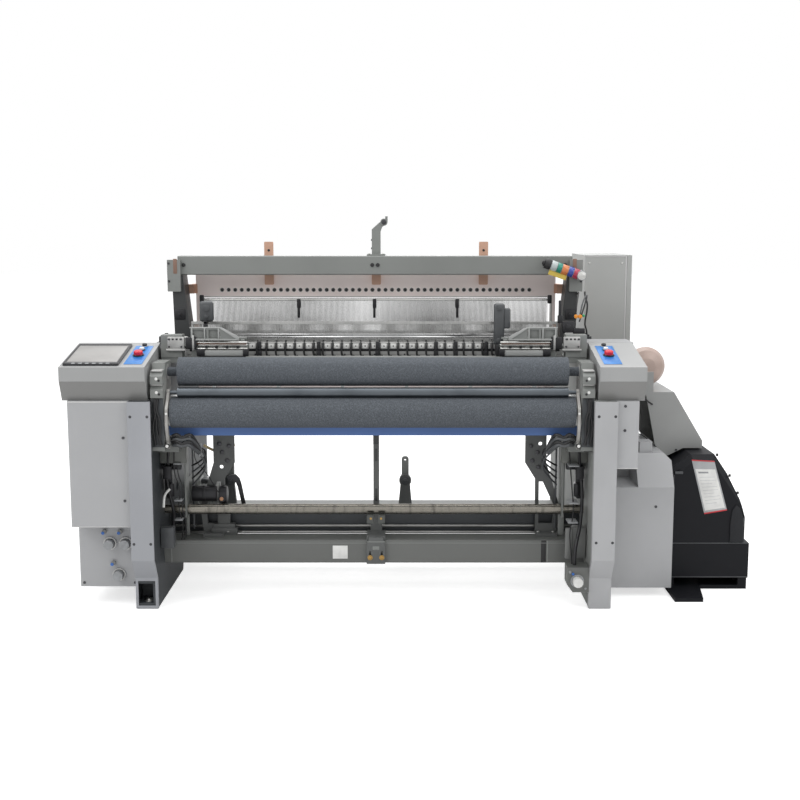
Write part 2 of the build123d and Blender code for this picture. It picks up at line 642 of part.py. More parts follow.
# Roller brackets: bearing blocks on the castings with two lugs in front and the pins of the press arms,
# and below them a carrier with a bearing plate for the cloth roller
lug_rise, lug_pitch, lug_height, lug_slope = 17.0, 60.0, 58.0, 24.0
lug_front, lug_back, lug_hole_inset, lug_hole_radius = 34.0, 120.0, 16.0, 4.5
carrier_inner, carrier_near, carrier_far, carrier_low, carrier_high = 872.0, 150.0, 332.0, 700.0, 735.0
bearing_half, bearing_thickness = 35.0, 8.0
with BuildPart() as roller_brackets:
    with BuildSketch(Plane.YZ.offset(bracket_inner)):
        with BuildLine():
            Polyline(
                (setback(arm_pivot_setback - 24), arm_pivot_height - 24),
                (setback(arm_pivot_setback + 26), arm_pivot_height - 24),
                (setback(take_up_setback + 75), take_up_height - 60),
                (setback(guide_setback + 66), guide_height - 90),
                (setback(guide_setback + 66), guide_height + 46),
                (setback(guide_setback - 66), guide_height + 46),
                (setback(take_up_setback - 66), take_up_height + 60),
                (setback(take_up_setback - 66), take_up_height - 60),
                close=True,
            )
        make_face()
    extrude(amount=frame_inner - bracket_inner)
    with BuildSketch(Plane.YZ.offset(bracket_inner)):
        with Locations((setback(arm_pivot_setback), arm_pivot_height)):
            Circle(arm_pin_radius)
    extrude(amount=-20)
    for lug_top in (guide_height + lug_rise, guide_height + lug_rise - lug_pitch):
        with BuildSketch(Plane.YZ.offset(bracket_inner)):
            with BuildLine():
                Polyline(
                    (setback(lug_back), lug_top),
                    (setback(lug_front + lug_slope), lug_top),
                    (setback(lug_front), lug_top - lug_slope),
                    (setback(lug_front), lug_top - lug_height),
                    (setback(lug_back), lug_top - lug_height),
                    close=True,
                )
            make_face()
        extrude(amount=frame_inner - bracket_inner)
        with BuildSketch(Plane.XZ.offset(-setback(lug_front))):
            with Locations((bracket_inner + lug_hole_inset, lug_top - lug_height + lug_hole_inset)):
                Circle(lug_hole_radius)
        extrude(amount=-4 * lug_hole_radius, mode=Mode.SUBTRACT)
    with BuildSketch(Plane.YZ.offset(carrier_inner)):
        with Locations((setback((carrier_near + carrier_far) / 2), (carrier_low + carrier_high) / 2)):
            RectangleRounded(carrier_far - carrier_near, carrier_high - carrier_low, 2 * sheet)
    extrude(amount=frame_inner - carrier_inner)
    with BuildSketch(Plane.YZ.offset(carrier_inner)):
        with Locations((setback(cloth_setback), (cloth_height - bearing_half + carrier_high) / 2)):
            RectangleRounded(2 * bearing_half, carrier_high - cloth_height + bearing_half, 2 * sheet)
        with Locations((setback(cloth_setback), cloth_height)):
            Circle(journal_radius + 2, mode=Mode.SUBTRACT)
    extrude(amount=-bearing_thickness)
    with BuildSketch(Plane.YZ.offset(bracket_inner)):
        with Locations((setback(take_up_setback), take_up_height), (setback(guide_setback), guide_height)):
            Circle(journal_radius + shaft_clearance)
    extrude(amount=frame_inner - bracket_inner, mode=Mode.SUBTRACT)
    mirror(about=Plane.YZ)
write(roller_brackets, "roller_brackets")


def roller(half, radius, wall, neck, bore, reach, y, z, name):
    """A tube with end plugs and journals, bored right through."""
    with BuildPart() as tube:
        with BuildSketch(Plane(origin=(0, y, z), x_dir=(1, 0, 0), z_dir=(0, -1, 0))):
            with BuildLine():
                Polyline(
                    (-reach, bore), (-reach, neck), (-half, neck), (-half, radius), (half, radius),
                    (half, neck), (reach, neck), (reach, bore), (half - 20, bore),
                    (half - 20, radius - wall), (20 - half, radius - wall), (20 - half, bore),
                    close=True,
                )
            make_face()
        revolve(axis=Axis((0, y, z), (1, 0, 0)))
    if name:
        write(tube, name)
    return tube


bracket_reach = frame_inner - 2
casting_reach = frame_inner + web - 2
roller(
    take_up_half, take_up_radius, roller_wall, journal_radius, journal_bore, bracket_reach,
    setback(take_up_setback), take_up_height, "take_up_roller",
)
roller(
    guide_half, guide_radius, roller_wall, journal_radius, journal_bore, bracket_reach,
    setback(guide_setback), guide_height, "guide_roller",
)
arm_inner = bracket_inner - 6 - arm_thickness
roller(
    press_half, press_radius, 5, press_journal_radius, 3, arm_inner + arm_thickness,
    setback(press_setback), press_height, "press_roller",
)
roller(
    cloth_half, cloth_radius, 6, journal_radius, journal_bore, casting_reach,
    setback(cloth_setback), cloth_height, "cloth_roller",
)
roller(
    rest_half, rest_radius, roller_wall, journal_radius, journal_bore, casting_reach,
    setback(rest_setback), rest_height, "back_rest_roller",
)

# Press arms: levers bent forwards round the take-up roller
arm_width, arm_boss_radius, arm_tip_radius = 20.0, 20.0, 14.0
knee_setback = take_up_setback - take_up_radius
knee_low, knee_high = 60.0, 20.0
arm_knees = (
    (arm_pivot_setback, arm_pivot_height),
    (knee_setback, take_up_height - knee_low),
    (knee_setback, take_up_height + knee_high),
    (press_setback, press_height),
)
with BuildPart() as press_arms:
    with BuildSketch(Plane.YZ.offset(arm_inner)):
        for start, end in zip(arm_knees, arm_knees[1:]):
            span = math.dist(start, end)
            turn = math.degrees(math.atan2(end[1] - start[1], end[0] - start[0]))
            with Locations((setback((start[0] + end[0]) / 2), (start[1] + end[1]) / 2)):
                SlotCenterToCenter(span, arm_width, rotation=turn)
        with Locations((setback(arm_pivot_setback), arm_pivot_height)):
            Circle(arm_boss_radius)
            Circle(arm_pin_radius + shaft_clearance, mode=Mode.SUBTRACT)
        with Locations((setback(press_setback), press_height)):
            Circle(arm_tip_radius)
            Circle(press_journal_radius + shaft_clearance, mode=Mode.SUBTRACT)
    extrude(amount=arm_thickness)
    mirror(about=Plane.YZ)
write(press_arms, "press_arms")

# Guide bar: a flat bar under the take-up roller, between the brackets
guide_bar_height, guide_bar_thickness = 43.0, 12.0
guide_bar_top = take_up_height - take_up_radius + 2.5
with BuildPart() as guide_bar:
    with BuildSketch(Plane.YZ.offset(-bracket_inner)):
        with Locations((setback(take_up_setback + 30), guide_bar_top - guide_bar_height / 2)):
            RectangleRounded(guide_bar_thickness, guide_bar_height, sheet)
    extrude(amount=2 * bracket_inner)
write(guide_bar, "guide_bar")

# Sley: rocking shaft with its swords
sword_places = (-750, -450, -150, 150, 450, 750)
sley_shaft = roller(
    sley_half, sley_shaft_radius, roller_wall, journal_radius, journal_bore, casting_reach,
    setback(sley_setback), sley_height, "",
)
with BuildPart() as sley_shaft_and_swords:
    add(sley_shaft.part)
    for sword_x in sword_places:
        with BuildSketch(Plane.YZ.offset(sword_x - 7)):
            with BuildLine():
                Polyline(
                    (setback(sley_setback - 34), sley_height + 26),
                    (setback(bar_setback + 6), bar_bottom - seat_gap),
                    (setback(bar_setback + bar_depth - 6), bar_bottom - seat_gap),
                    (setback(sley_setback + 38), sley_height + 20),
                    close=True,
                )
            make_face()
        extrude(amount=14)
write(sley_shaft_and_swords, "sley_shaft")

# Sley bar: an aluminium section with two hollow chambers and grooves on its front
with BuildPart() as sley_bar:
    bar_middle = (bar_bottom + bar_top) / 2
    with BuildSketch(Plane.YZ.offset(-sley_half)):
        with Locations((setback(bar_setback + bar_depth / 2), bar_middle)):
            RectangleRounded(bar_depth, bar_top - bar_bottom, 3)
            with Locations((-bar_depth / 4 + 3, 0), (bar_depth / 4 + 1, 0)):
                RectangleRounded(bar_depth / 2 - 11, bar_top - bar_bottom - 12, 3, mode=Mode.SUBTRACT)
        with Locations((setback(bar_setback), bar_middle + 14), (setback(bar_setback), bar_middle - 14)):
            Rectangle(6, 7, mode=Mode.SUBTRACT)
    extrude(amount=2 * sley_half)
write(sley_bar, "sley_bar")

# Reed: a comb of dents between two rails
with BuildPart() as reed:
    with BuildSketch(Plane.XZ.offset(-setback(reed_setback))):
        with Locations((0, (reed_bottom + reed_top) / 2)):
            Rectangle(2 * cloth_half, reed_top - reed_bottom)
            reed_step = (2 * cloth_half - 2 * reed_rail) / reed_gaps
            with GridLocations(reed_step, 0, reed_gaps, 1):
                Rectangle(reed_step * 0.55, reed_top - reed_bottom - 2 * reed_rail, mode=Mode.SUBTRACT)
    extrude(amount=-reed_thickness)
write(reed, "reed")

# Relay nozzles: clamps with bent air stubs along the front of the sley bar
with BuildPart() as sub_nozzles:
    with BuildSketch(Plane.XZ.offset(-setback(bar_setback))):
        with GridLocations(nozzle_pitch, 0, nozzle_count, 1):
            with Locations((4, bar_top + 4)):
                SlotCenterToCenter(24, 9, rotation=115)
            with Locations((-2, bar_top - 26)):
                SlotCenterToCenter(36, 9, rotation=65)
            with Locations((-14, bar_bottom + 10)):
                SlotCenterToCenter(16, 9, rotation=10)
    extrude(amount=10)
write(sub_nozzles, "sub_nozzles")

# Main nozzle: a stepped tube with a flared mouth on a foot at the bar's left end
with BuildPart() as main_nozzle:
    nozzle_y, nozzle_z = setback(reed_setback - 16), reed_bottom + 34
    with BuildSketch(Plane(origin=(0, nozzle_y, nozzle_z), x_dir=(1, 0, 0), z_dir=(0, -1, 0))):
        with BuildLine():
            Polyline((-955, 3), (-955, 15), (-925, 15), (-920, 10), (-885, 10), (-868, 5), (-868, 2),
                     (-935, 2), close=True)
        make_face()
    revolve(axis=Axis((0, nozzle_y, nozzle_z), (1, 0, 0)))
    with BuildSketch(Plane.YZ.offset(-sley_half)):
        with Locations((nozzle_y, (bar_bottom + nozzle_z - 5) / 2)):
            Rectangle(22, nozzle_z - 5 - bar_bottom)
    extrude(amount=-20)
write(main_nozzle, "main_nozzle")


def heald_frames(lanes, drilled, name):
    """Heald frames of one group: rails joined by side stays, the outer one drilled."""
    with BuildPart() as frames:
        for lane in lanes:
            near = setback(heald_setback + frame_pitch * lane)
            with BuildSketch(Plane.XZ.offset(-near)):
                with Locations((0, (heald_bottom + heald_top) / 2)):
                    Rectangle(2 * heald_half, heald_top - heald_bottom)
                with Locations((0, (heald_bottom + 40 + heald_top - rail_height) / 2)):
                    Rectangle(
                        2 * (heald_half - stay_width),
                        heald_top - rail_height - heald_bottom - 40,
                        mode=Mode.SUBTRACT,
                    )
                if lane == drilled:
                    with Locations((0, heald_top - rail_height + heald_hole_rise)):
                        with GridLocations(heald_hole_pitch, 0, heald_holes, 1):
                            Circle(heald_hole_radius, mode=Mode.SUBTRACT)
            extrude(amount=-heald_thickness)
    write(frames, name)


heald_frames((0, 2), 0, "heald_frames_front")
heald_frames((1, 3), 3, "heald_frames_rear")

# Shedding rail and pedestals, with the pins of the rocking levers
rail_low, rail_high = 205.0, 235.0
pedestal_thickness = 30.0
with BuildPart() as lever_pedestals:
    with BuildSketch(Plane.YZ.offset(-frame_inner)):
        with Locations((setback(lever_setback + 60), (rail_low + rail_high) / 2)):
            Rectangle(60, rail_high - rail_low)
        with Locations((setback(lever_setback - 20), rail_low)):
            Circle(9)
    extrude(amount=2 * frame_inner)
    for lever_x in lever_places:
        with BuildSketch(Plane.XY.offset(rail_high)):
            with Locations((lever_x, setback(lever_setback + 35))):
                Rectangle(118, 130)
        extrude(amount=15)
        with BuildSketch(Plane.XZ.offset(-setback(lever_setback + 30))):
            with BuildLine():
                Polyline(
                    (lever_x - 40, rail_high + 15),
                    (lever_x - 22, lever_pivot_height),
                    (lever_x + 22, lever_pivot_height),
                    (lever_x + 40, rail_high + 15),
                    close=True,
                )
            make_face()
            with Locations((lever_x, lever_pivot_height)):
                Circle(30)
        extrude(amount=-pedestal_thickness)
        with BuildSketch(Plane.XZ.offset(-setback(lever_setback + 30))):
            with Locations((lever_x, lever_pivot_height)):
                Circle(lever_pin_radius)
        extrude(amount=-pedestal_thickness - 40)
write(lever_pedestals, "lever_pedestals")

for lever_x, lever_name in zip(lever_places, ("lift_lever_left", "lift_lever_right")):
    with BuildPart() as lift_lever:
        lever_front = setback(lever_setback + 30 + pedestal_thickness) + running_gap
        with BuildSketch(Plane.XZ.offset(-lever_front)):
            with Locations((lever_x, (lever_pivot_height + lever_top) / 2)):
                SlotCenterToCenter(lever_top - lever_pivot_height, 36, rotation=90)
            with Locations((lever_x, lever_pivot_height)):
                Circle(27)
                Circle(lever_pin_radius + shaft_clearance, mode=Mode.SUBTRACT)
            with Locations((lever_x, lever_top)):
                Circle(6, mode=Mode.SUBTRACT)
        extrude(amount=-30)
    write(lift_lever, lever_name)

# Shaft brackets: a clamp over the front tie beam with a strut up to the sley shaft's middle,
# and a pierced plate on the tie beam near each end of the shaft
strut_x, strut_width, clamp_half = 8.0, 27.0, 43.0
side_plate_outline = (
    (0.0, 905.0), (0.0, 610.0), (48.0, 533.0), (51.0, tie_top + seat_gap), (150.0, tie_top + seat_gap),
    (165.0, 400.0), (99.0, 610.0), (99.0, 820.0), (27.0, 880.0), (27.0, 905.0),
)
side_plate_window = ((66.0, 320.0), (66.0, 520.0), (84.0, 520.0), (140.0, 400.0), (130.0, 320.0))
side_plate_holes = ((26.0, 690.0), (58.0, 660.0), (34.0, 620.0), (70.0, 700.0), (62.0, 590.0))
with BuildPart() as shaft_brackets:
    clamp_front = setback(tie_setback) - seat_gap
    with BuildSketch(Plane.XZ.offset(-clamp_front)):
        with BuildLine():
            Polyline(
                (strut_x - clamp_half, tie_bottom),
                (strut_x - clamp_half, tie_top - 22),
                (strut_x - clamp_half + 12, tie_top + 16),
                (strut_x + clamp_half - 12, tie_top + 16),
                (strut_x + clamp_half, tie_top - 22),
                (strut_x + clamp_half, tie_bottom),
                close=True,
            )
        make_face()
        with Locations((strut_x - 27, tie_bottom + 44), (strut_x + 27, tie_bottom + 44)):
            RectangleRounded(9, 34, 4, mode=Mode.SUBTRACT)
    extrude(amount=16)
    with BuildSketch(Plane.XY.offset(tie_top + seat_gap)):
        with Locations((strut_x, setback(tie_setback + tie_depth / 2) - seat_gap)):
            Rectangle(2 * clamp_half, tie_depth)
    extrude(amount=16)
    with BuildSketch(Plane.XZ.offset(-setback(tie_setback + tie_depth) + strut_width)):
        with Locations((strut_x, (tie_top + 16 + sley_height - sley_shaft_radius) / 2)):
            Rectangle(strut_width, sley_height - sley_shaft_radius - tie_top - 16)
        with Locations((strut_x, tie_top + 40)):
            Rectangle(2 * strut_width, 60)
    extrude(amount=-strut_width)
    with BuildSketch(Plane.YZ.offset(strut_x - strut_width)):
        with BuildLine():
            Polyline(
                (setback(tie_setback + tie_depth) - strut_width, sley_height - 110),
                (setback(tie_setback + tie_depth), sley_height - 110),
                (setback(sley_setback + 30), sley_height - sley_shaft_radius - 14),
                (setback(sley_setback + 30), sley_height),
                (setback(sley_setback - 60), sley_height),
                (setback(tie_setback + tie_depth) - strut_width, sley_height - 60),
                close=True,
            )
        make_face()
        with Locations((setback(sley_setback), sley_height)):
            Circle(sley_shaft_radius + seat_gap, mode=Mode.SUBTRACT)
    extrude(amount=2 * strut_width)
    plate_near, plate_thickness = tie_setback + tie_depth - 14, 12.0
    tie_seat = tie_top + seat_gap
    for side, inner in ((-1, 654.0), (1, 704.0)):
        with BuildSketch(Plane.XZ.offset(-setback(plate_near))):
            with BuildLine():
                Polyline(*((side * (inner + x), z) for x, z in side_plate_outline), close=True)
            make_face()
            with BuildLine():
                Polyline(*((side * (inner + x), z) for x, z in side_plate_window), close=True)
            make_face(mode=Mode.SUBTRACT)
            with Locations(*((side * (inner + x), z) for x, z in side_plate_holes)):
                Circle(3 * sheet, mode=Mode.SUBTRACT)
        extrude(amount=-plate_thickness)
        with BuildSketch(Plane.XY.offset(tie_seat)):
            with Locations((side * (inner + 100), setback(plate_near - 20))):
                Rectangle(96, 2 * plate_thickness + 40)
        extrude(amount=plate_thickness)
        with BuildSketch(Plane.YZ.offset(side * (inner + strut_width / 2))):
            with BuildLine():
                Polyline(
                    (setback(plate_near), sley_height - 2 * sley_shaft_radius),
                    (setback(plate_near + plate_thickness), sley_height - 3 * sley_shaft_radius),
                    (setback(sley_setback + 30), sley_height - sley_shaft_radius - plate_thickness),
                    (setback(sley_setback + 30), sley_height),
                    (setback(plate_near), sley_height),
                    close=True,
                )
            make_face()
            with Locations((setback(sley_setback), sley_height)):
                Circle(sley_shaft_radius + seat_gap, mode=Mode.SUBTRACT)
        extrude(amount=strut_width / 2, both=True)
write(shaft_brackets, "shaft_brackets")

# Temples: a cross beam, and on each side a base, two rods, a ribbed casting and an end block
temple_beam_setback, temple_beam_bottom, temple_beam_top = 300.0, 1085.0, 1112.0
temple_near, temple_far, temple_inner, temple_outer = 290.0, 372.0, 620.0, 832.0
temple_low, temple_high, temple_wall = 1192.0, 1248.0, 7.0
temple_beam_depth, base_inner, base_middle, base_width, base_thickness = 70.0, 585.0, 335.0, 62.0, 28.0
temple_rod_radius, temple_rod_height, temple_rod_start, temple_rod_length = 8.0, 1160.0, 575.0, 310.0
temple_posts, temple_post_width, temple_post_depth = (600.0, 700.0, 815.0), 16.0, 66.0
temple_taper, temple_front_lip, temple_back_lip, window_rim = 75.0, 16.0, 22.0, 9.0
window_post, window_split = 10.0, 82.0
end_block_inner, end_block_top, end_block_depth = 874.0, 1214.0, 74.0
base_top = temple_beam_top + base_thickness
with BuildPart() as temples:
    with BuildSketch(Plane.YZ.offset(-frame_inner)):
        beam_y = setback(temple_beam_setback + temple_beam_depth / 2)
        with Locations((beam_y, (temple_beam_bottom + temple_beam_top) / 2)):
            RectangleRounded(temple_beam_depth, temple_beam_top - temple_beam_bottom, sheet)
    extrude(amount=2 * frame_inner)
    with BuildSketch(Plane.XY.offset(temple_beam_top)):
        with Locations(((base_inner + temple_outer) / 2, setback(base_middle))):
            Rectangle(temple_outer - base_inner, base_width)
    extrude(amount=base_thickness)
    for rod_setback in (base_middle - 19, base_middle + 21):
        with BuildSketch(Plane.YZ.offset(temple_rod_start)):
            with Locations((setback(rod_setback), temple_rod_height)):
                Circle(temple_rod_radius)
        extrude(amount=temple_rod_length)
    for post in temple_posts:
        with BuildSketch(Plane.XY.offset(base_top)):
            with Locations((post, setback(base_middle + 1))):
                Rectangle(temple_post_width, temple_post_depth)
        extrude(amount=temple_low - base_top)
    with BuildSketch(Plane.XY.offset(temple_low)):
        with BuildLine():
            Polyline(
                (temple_outer, setback(temple_near)),
                (temple_inner + temple_taper - temple_front_lip + 1, setback(temple_near)),
                (base_inner, setback(temple_far - 30)),
                (base_inner, setback(temple_far)),
                (temple_outer, setback(temple_far)),
                close=True,
            )
        make_face()
    extrude(amount=temple_wall)
    with BuildSketch(Plane.XZ.offset(-setback(temple_near + temple_wall))):
        with BuildLine():
            Polyline(
                (temple_outer, temple_low),
                (temple_outer, temple_high),
                (temple_inner + temple_taper, temple_high),
                (temple_inner, temple_low + temple_front_lip),
                (temple_inner, temple_low),
                close=True,
            )
        make_face()
        for low_x, high_x in (
            (temple_outer - window_split + window_post, temple_outer - window_post),
            (temple_inner + temple_taper + sheet, temple_outer - window_split),
        ):
            with Locations(((low_x + high_x) / 2, (temple_low + temple_high) / 2)):
                RectangleRounded(
                    high_x - low_x, temple_high - temple_low - 2 * window_rim, sheet, mode=Mode.SUBTRACT
                )
    extrude(amount=temple_wall)
    for wall_x in (
        temple_outer - temple_wall, temple_outer - window_split + 1, temple_inner + temple_taper - 5
    ):
        with BuildSketch(Plane.YZ.offset(wall_x)):
            with BuildLine():
                Polyline(
                    (setback(temple_near), temple_low),
                    (setback(temple_near), temple_high),
                    (setback(temple_far), temple_low + temple_back_lip),
                    (setback(temple_far), temple_low),
                    close=True,
                )
            make_face()
        extrude(amount=temple_wall)
    with BuildSketch(Plane.XY.offset(temple_beam_top)):
        with Locations(((end_block_inner + frame_inner) / 2, setback(base_middle - 2))):
            Rectangle(frame_inner - end_block_inner, end_block_depth)
    extrude(amount=end_block_top - temple_beam_top)
    mirror(about=Plane.YZ)
write(temples, "temples")

# Warp stop motion: end plates on the castings joined by six bars
stop_setback, stop_depth, stop_low, stop_high = rear_setback, 130.0, 965.0, 1165.0
stop_plate, stop_corner = 12.0, 12.0
stop_bars, stop_bar_thickness, stop_bar_height, stop_bar_drop = 6, 5.0, 26.0, 22.0
with BuildPart() as drop_wire_device:
    for side in (-1, 1):
        with BuildSketch(Plane.YZ.offset(side * (frame_inner - seat_gap - stop_plate / 2))):
            with Locations((setback(stop_setback + stop_depth / 2), (stop_low + stop_high) / 2)):
                RectangleRounded(stop_depth, stop_high - stop_low, stop_corner)
        extrude(amount=stop_plate / 2, both=True)
    with BuildSketch(Plane.YZ.offset(stop_plate - frame_inner)):
        with Locations((setback(stop_setback + stop_depth / 2), stop_high - stop_bar_drop)):
            with GridLocations(stop_depth / (stop_bars + 0.5), 0, stop_bars, 1):
                Rectangle(stop_bar_thickness, stop_bar_height)
    extrude(amount=2 * (frame_inner - stop_plate))
write(drop_wire_device, "drop_wire_device")

# Let-off drive: a gearbox on the left casting with its round motor
let_off_setback, let_off_height, let_off_radius = 900.0, 348.0, 60.0
gearbox_length, gearbox_height, gearbox_width, gearbox_corner = 190.0, 160.0, 62.0, 20.0
let_off_length, let_off_round, pinion_radius, pinion_length = 150.0, 8.0, 18.0, 26.0
pinion_back, pinion_rise = 55.0, 20.0
with BuildPart() as let_off_drive:
    with BuildSketch(Plane.YZ.offset(seat_gap - frame_inner)):
        with Locations((setback(let_off_setback), let_off_height)):
            RectangleRounded(gearbox_length, gearbox_height, gearbox_corner)
    extrude(amount=gearbox_width)
    with BuildSketch(Plane.YZ.offset(seat_gap - frame_inner + gearbox_width)):
        with Locations((setback(let_off_setback), let_off_height)):
            Circle(let_off_radius)
    extrude(amount=let_off_length)
    fillet(let_off_drive.edges().filter_by(GeomType.CIRCLE).sort_by(Axis.X)[-1], let_off_round)
    with BuildSketch(Plane.YZ.offset(seat_gap - frame_inner + gearbox_width)):
        with Locations((setback(let_off_setback + pinion_back), let_off_height + pinion_rise)):
            Circle(pinion_radius)
    extrude(amount=pinion_length)
write(let_off_drive, "let_off_drive")

# Right air box: a bevelled box at the right foot with its regulator's ring and bore
air_box_setback, air_box_depth = 62.0, 90.0
air_knob_x, air_knob_z = 912.0, 132.0
air_box_outer = post_x - post_width / 2 - seat_gap
air_box_inner, air_box_low, air_box_high, air_box_bevel_x, air_box_bevel_z = 868.0, 78.0, 192.0, 25.0, 34.0
air_pad_depth, air_pad_height, air_pad_back = 36.0, 80.0, 22.0
ring_length, ring_bore_depth = 6.0, 40.0
with BuildPart() as right_air_box:
    with BuildSketch(Plane.XZ.offset(-setback(air_box_setback))):
        with BuildLine():
            Polyline(
                (air_box_inner, air_box_high),
                (air_box_outer, air_box_high),
                (air_box_outer, air_box_low),
                (air_box_inner + air_box_bevel_x, air_box_low),
                (air_box_inner, air_box_low + air_box_bevel_z),
                close=True,
            )
        make_face()
    extrude(amount=-air_box_depth)
    with BuildSketch(Plane.YZ.offset(air_box_outer)):
        pad_y = setback(air_box_setback + air_box_depth - air_pad_back)
        with Locations((pad_y, (air_box_low + air_box_high) / 2)):
            RectangleRounded(air_pad_depth, air_pad_height, sheet + 1)
    extrude(amount=frame_inner - air_box_outer)
    with BuildSketch(knob_place(air_knob_x, air_knob_z, setback(air_box_setback))):
        Circle(knob_ring_radius)
    extrude(amount=ring_length)
    with BuildSketch(knob_place(air_knob_x, air_knob_z, setback(air_box_setback) - ring_length)):
        Circle(knob_stem_radius + shaft_clearance)
    extrude(amount=-ring_bore_depth, mode=Mode.SUBTRACT)
write(right_air_box, "right_air_box")


def regulator_knob(x, z, panel_y, name):
    """A knurled cap on a stem that runs through its ring."""
    with BuildPart() as knob:
        with BuildSketch(knob_place(x, z, panel_y - 6 - running_gap)):
            Circle(knob_radius)
            with PolarLocations(knob_radius, 12):
                Circle(1.6, mode=Mode.SUBTRACT)
        extrude(amount=knob_length)
        with BuildSketch(knob_place(x, z, panel_y - 6 - running_gap)):
            Circle(knob_stem_radius)
        extrude(amount=-30)
    write(knob, name)


for number, (knob_x, knob_z) in enumerate(knob_places, start=1):
    regulator_knob(knob_x, knob_z, setback(lower_panel_setback), f"regulator_knob_{number}")
regulator_knob(air_knob_x, air_knob_z, setback(air_box_setback), "right_regulator_knob")

# Weft feeder: a foot, a drum body and a dished disc, on the upper cover
feeder_x, feeder_z, feeder_setback, feeder_radius = 1318.0, 1028.0, 640.0, 94.0
with BuildPart() as weft_feeder:
    with BuildSketch(Plane(origin=(feeder_x, 0, feeder_z), x_dir=(1, 0, 0), z_dir=(0, 0, 1))):
        with BuildLine():
            start = setback(feeder_setback)
            Polyline((0, start), (feeder_radius * 0.45, start + 4), (feeder_radius * 0.85, start + 18),
                     (feeder_radius, start + 40), (feeder_radius, start + 52), (52, start + 56),
                     (52, start + 150), (38, start + 165), (0, start + 165), close=True)
        make_face()
    revolve(axis=Axis((feeder_x, 0, feeder_z), (0, 1, 0)))
    with BuildSketch(Plane.XY.offset(upper_cover_top + seat_gap)):
        with Locations((feeder_x + 4, setback(feeder_setback + 110))):
            RectangleRounded(66, 90, 8)
    extrude(amount=10)
    with BuildSketch(Plane.XY.offset(upper_cover_top + seat_gap + 10)):
        with Locations((feeder_x, setback(feeder_setback + 110))):
            RectangleRounded(34, 60, 6)
    extrude(amount=feeder_z - 30 - upper_cover_top)
write(weft_feeder, "weft_feeder")

# Signal lamp: a swivel foot, a sleeve, four lens rings and a cap, leaning to the left
lamp_y = setback(girder_setback - end_plate_thickness) - running_gap
lamp_steps = ((26, 30), (24, 26), (20, 3), (24, 26), (20, 3), (24, 26), (20, 3), (24, 26), (20, 3), (25, 30))
with BuildPart() as signal_lamp:
    with BuildSketch(Plane.XZ.offset(-lamp_y)):
        with Locations((lamp_pivot_x, lamp_pivot_height)):
            Circle(lamp_base_depth / 2 - 2)
    extrude(amount=lamp_base_depth)
    lean = math.radians(lamp_tilt)
    along = (-math.sin(lean), 0, math.cos(lean))
    reach = 8.0
    for step_radius, step_length in lamp_steps:
        with BuildSketch(
            Plane(
                origin=(
                    lamp_pivot_x + along[0] * reach,
                    lamp_y - lamp_base_depth / 2 - running_gap,
                    lamp_pivot_height + along[2] * reach,
                ),
                x_dir=(0, 1, 0),
                z_dir=along,
            )
        ):
            Circle(min(step_radius * lamp_radius / 24, lamp_base_depth / 2))
        extrude(amount=step_length)
        reach += step_length
    with BuildSketch(Plane.XZ.offset(-lamp_y)):
        with Locations((lamp_pivot_x, lamp_pivot_height)):
            Circle(lamp_pin_radius + shaft_clearance)
    extrude(amount=lamp_base_depth, mode=Mode.SUBTRACT)
write(signal_lamp, "signal_lamp")

# Electric cabinet: an open-sided box on a skirt, with fixed knuckles and hinge pins
cabinet_inner = frame_outer + seat_gap
cabinet_middle = (cabinet_inner + cabinet_outer) / 2
cabinet_back = cabinet_setback + cabinet_depth
hinge_x = cabinet_outer + door_gap + door_thickness / 2
hinge_y = setback(cabinet_back) + hinge_radius + 1.5
hinge_places = (cabinet_bottom + 180, cabinet_top - 180)
with BuildPart() as electric_cabinet:
    with BuildSketch(Plane.XY.offset(cabinet_bottom)):
        with Locations((cabinet_middle, setback(cabinet_setback + cabinet_depth / 2))):
            Rectangle(cabinet_outer - cabinet_inner, cabinet_depth)
    extrude(amount=cabinet_top - cabinet_bottom)
    offset(amount=-sheet, openings=electric_cabinet.faces().sort_by(Axis.X)[-1])
    with BuildSketch(Plane.XY):
        with Locations((cabinet_middle, setback(cabinet_setback + cabinet_depth / 2))):
            Rectangle(cabinet_outer - cabinet_inner - 20, cabinet_depth - 40)
            Rectangle(cabinet_outer - cabinet_inner - 20 - 4 * sheet, cabinet_depth - 40 - 4 * sheet,
                      mode=Mode.SUBTRACT)
    extrude(amount=cabinet_bottom)
    with BuildSketch(Plane.YZ.offset(cabinet_inner + sheet)):
        with Locations((setback(cabinet_setback + cabinet_depth / 2), (cabinet_bottom + cabinet_top) / 2)):
            Rectangle(cabinet_depth - 90, cabinet_top - cabinet_bottom - 160)
    extrude(amount=14)
    for place in hinge_places:
        with BuildSketch(Plane.XY.offset(place - hinge_length)):
            with Locations(((hinge_x + cabinet_outer - 30) / 2, hinge_y)):
                Rectangle(hinge_x - cabinet_outer + 30, 4)
            with Locations((cabinet_outer - 20, (hinge_y + setback(cabinet_back)) / 2)):
                Rectangle(20, hinge_y - setback(cabinet_back))
            with Locations((hinge_x, hinge_y)):
                Circle(hinge_radius)
        extrude(amount=hinge_length)
        with BuildSketch(Plane.XY.offset(place - hinge_length)):
            with Locations((hinge_x, hinge_y)):
                Circle(hinge_radius / 2)
        extrude(amount=2 * hinge_length)
write(electric_cabinet, "electric_cabinet")

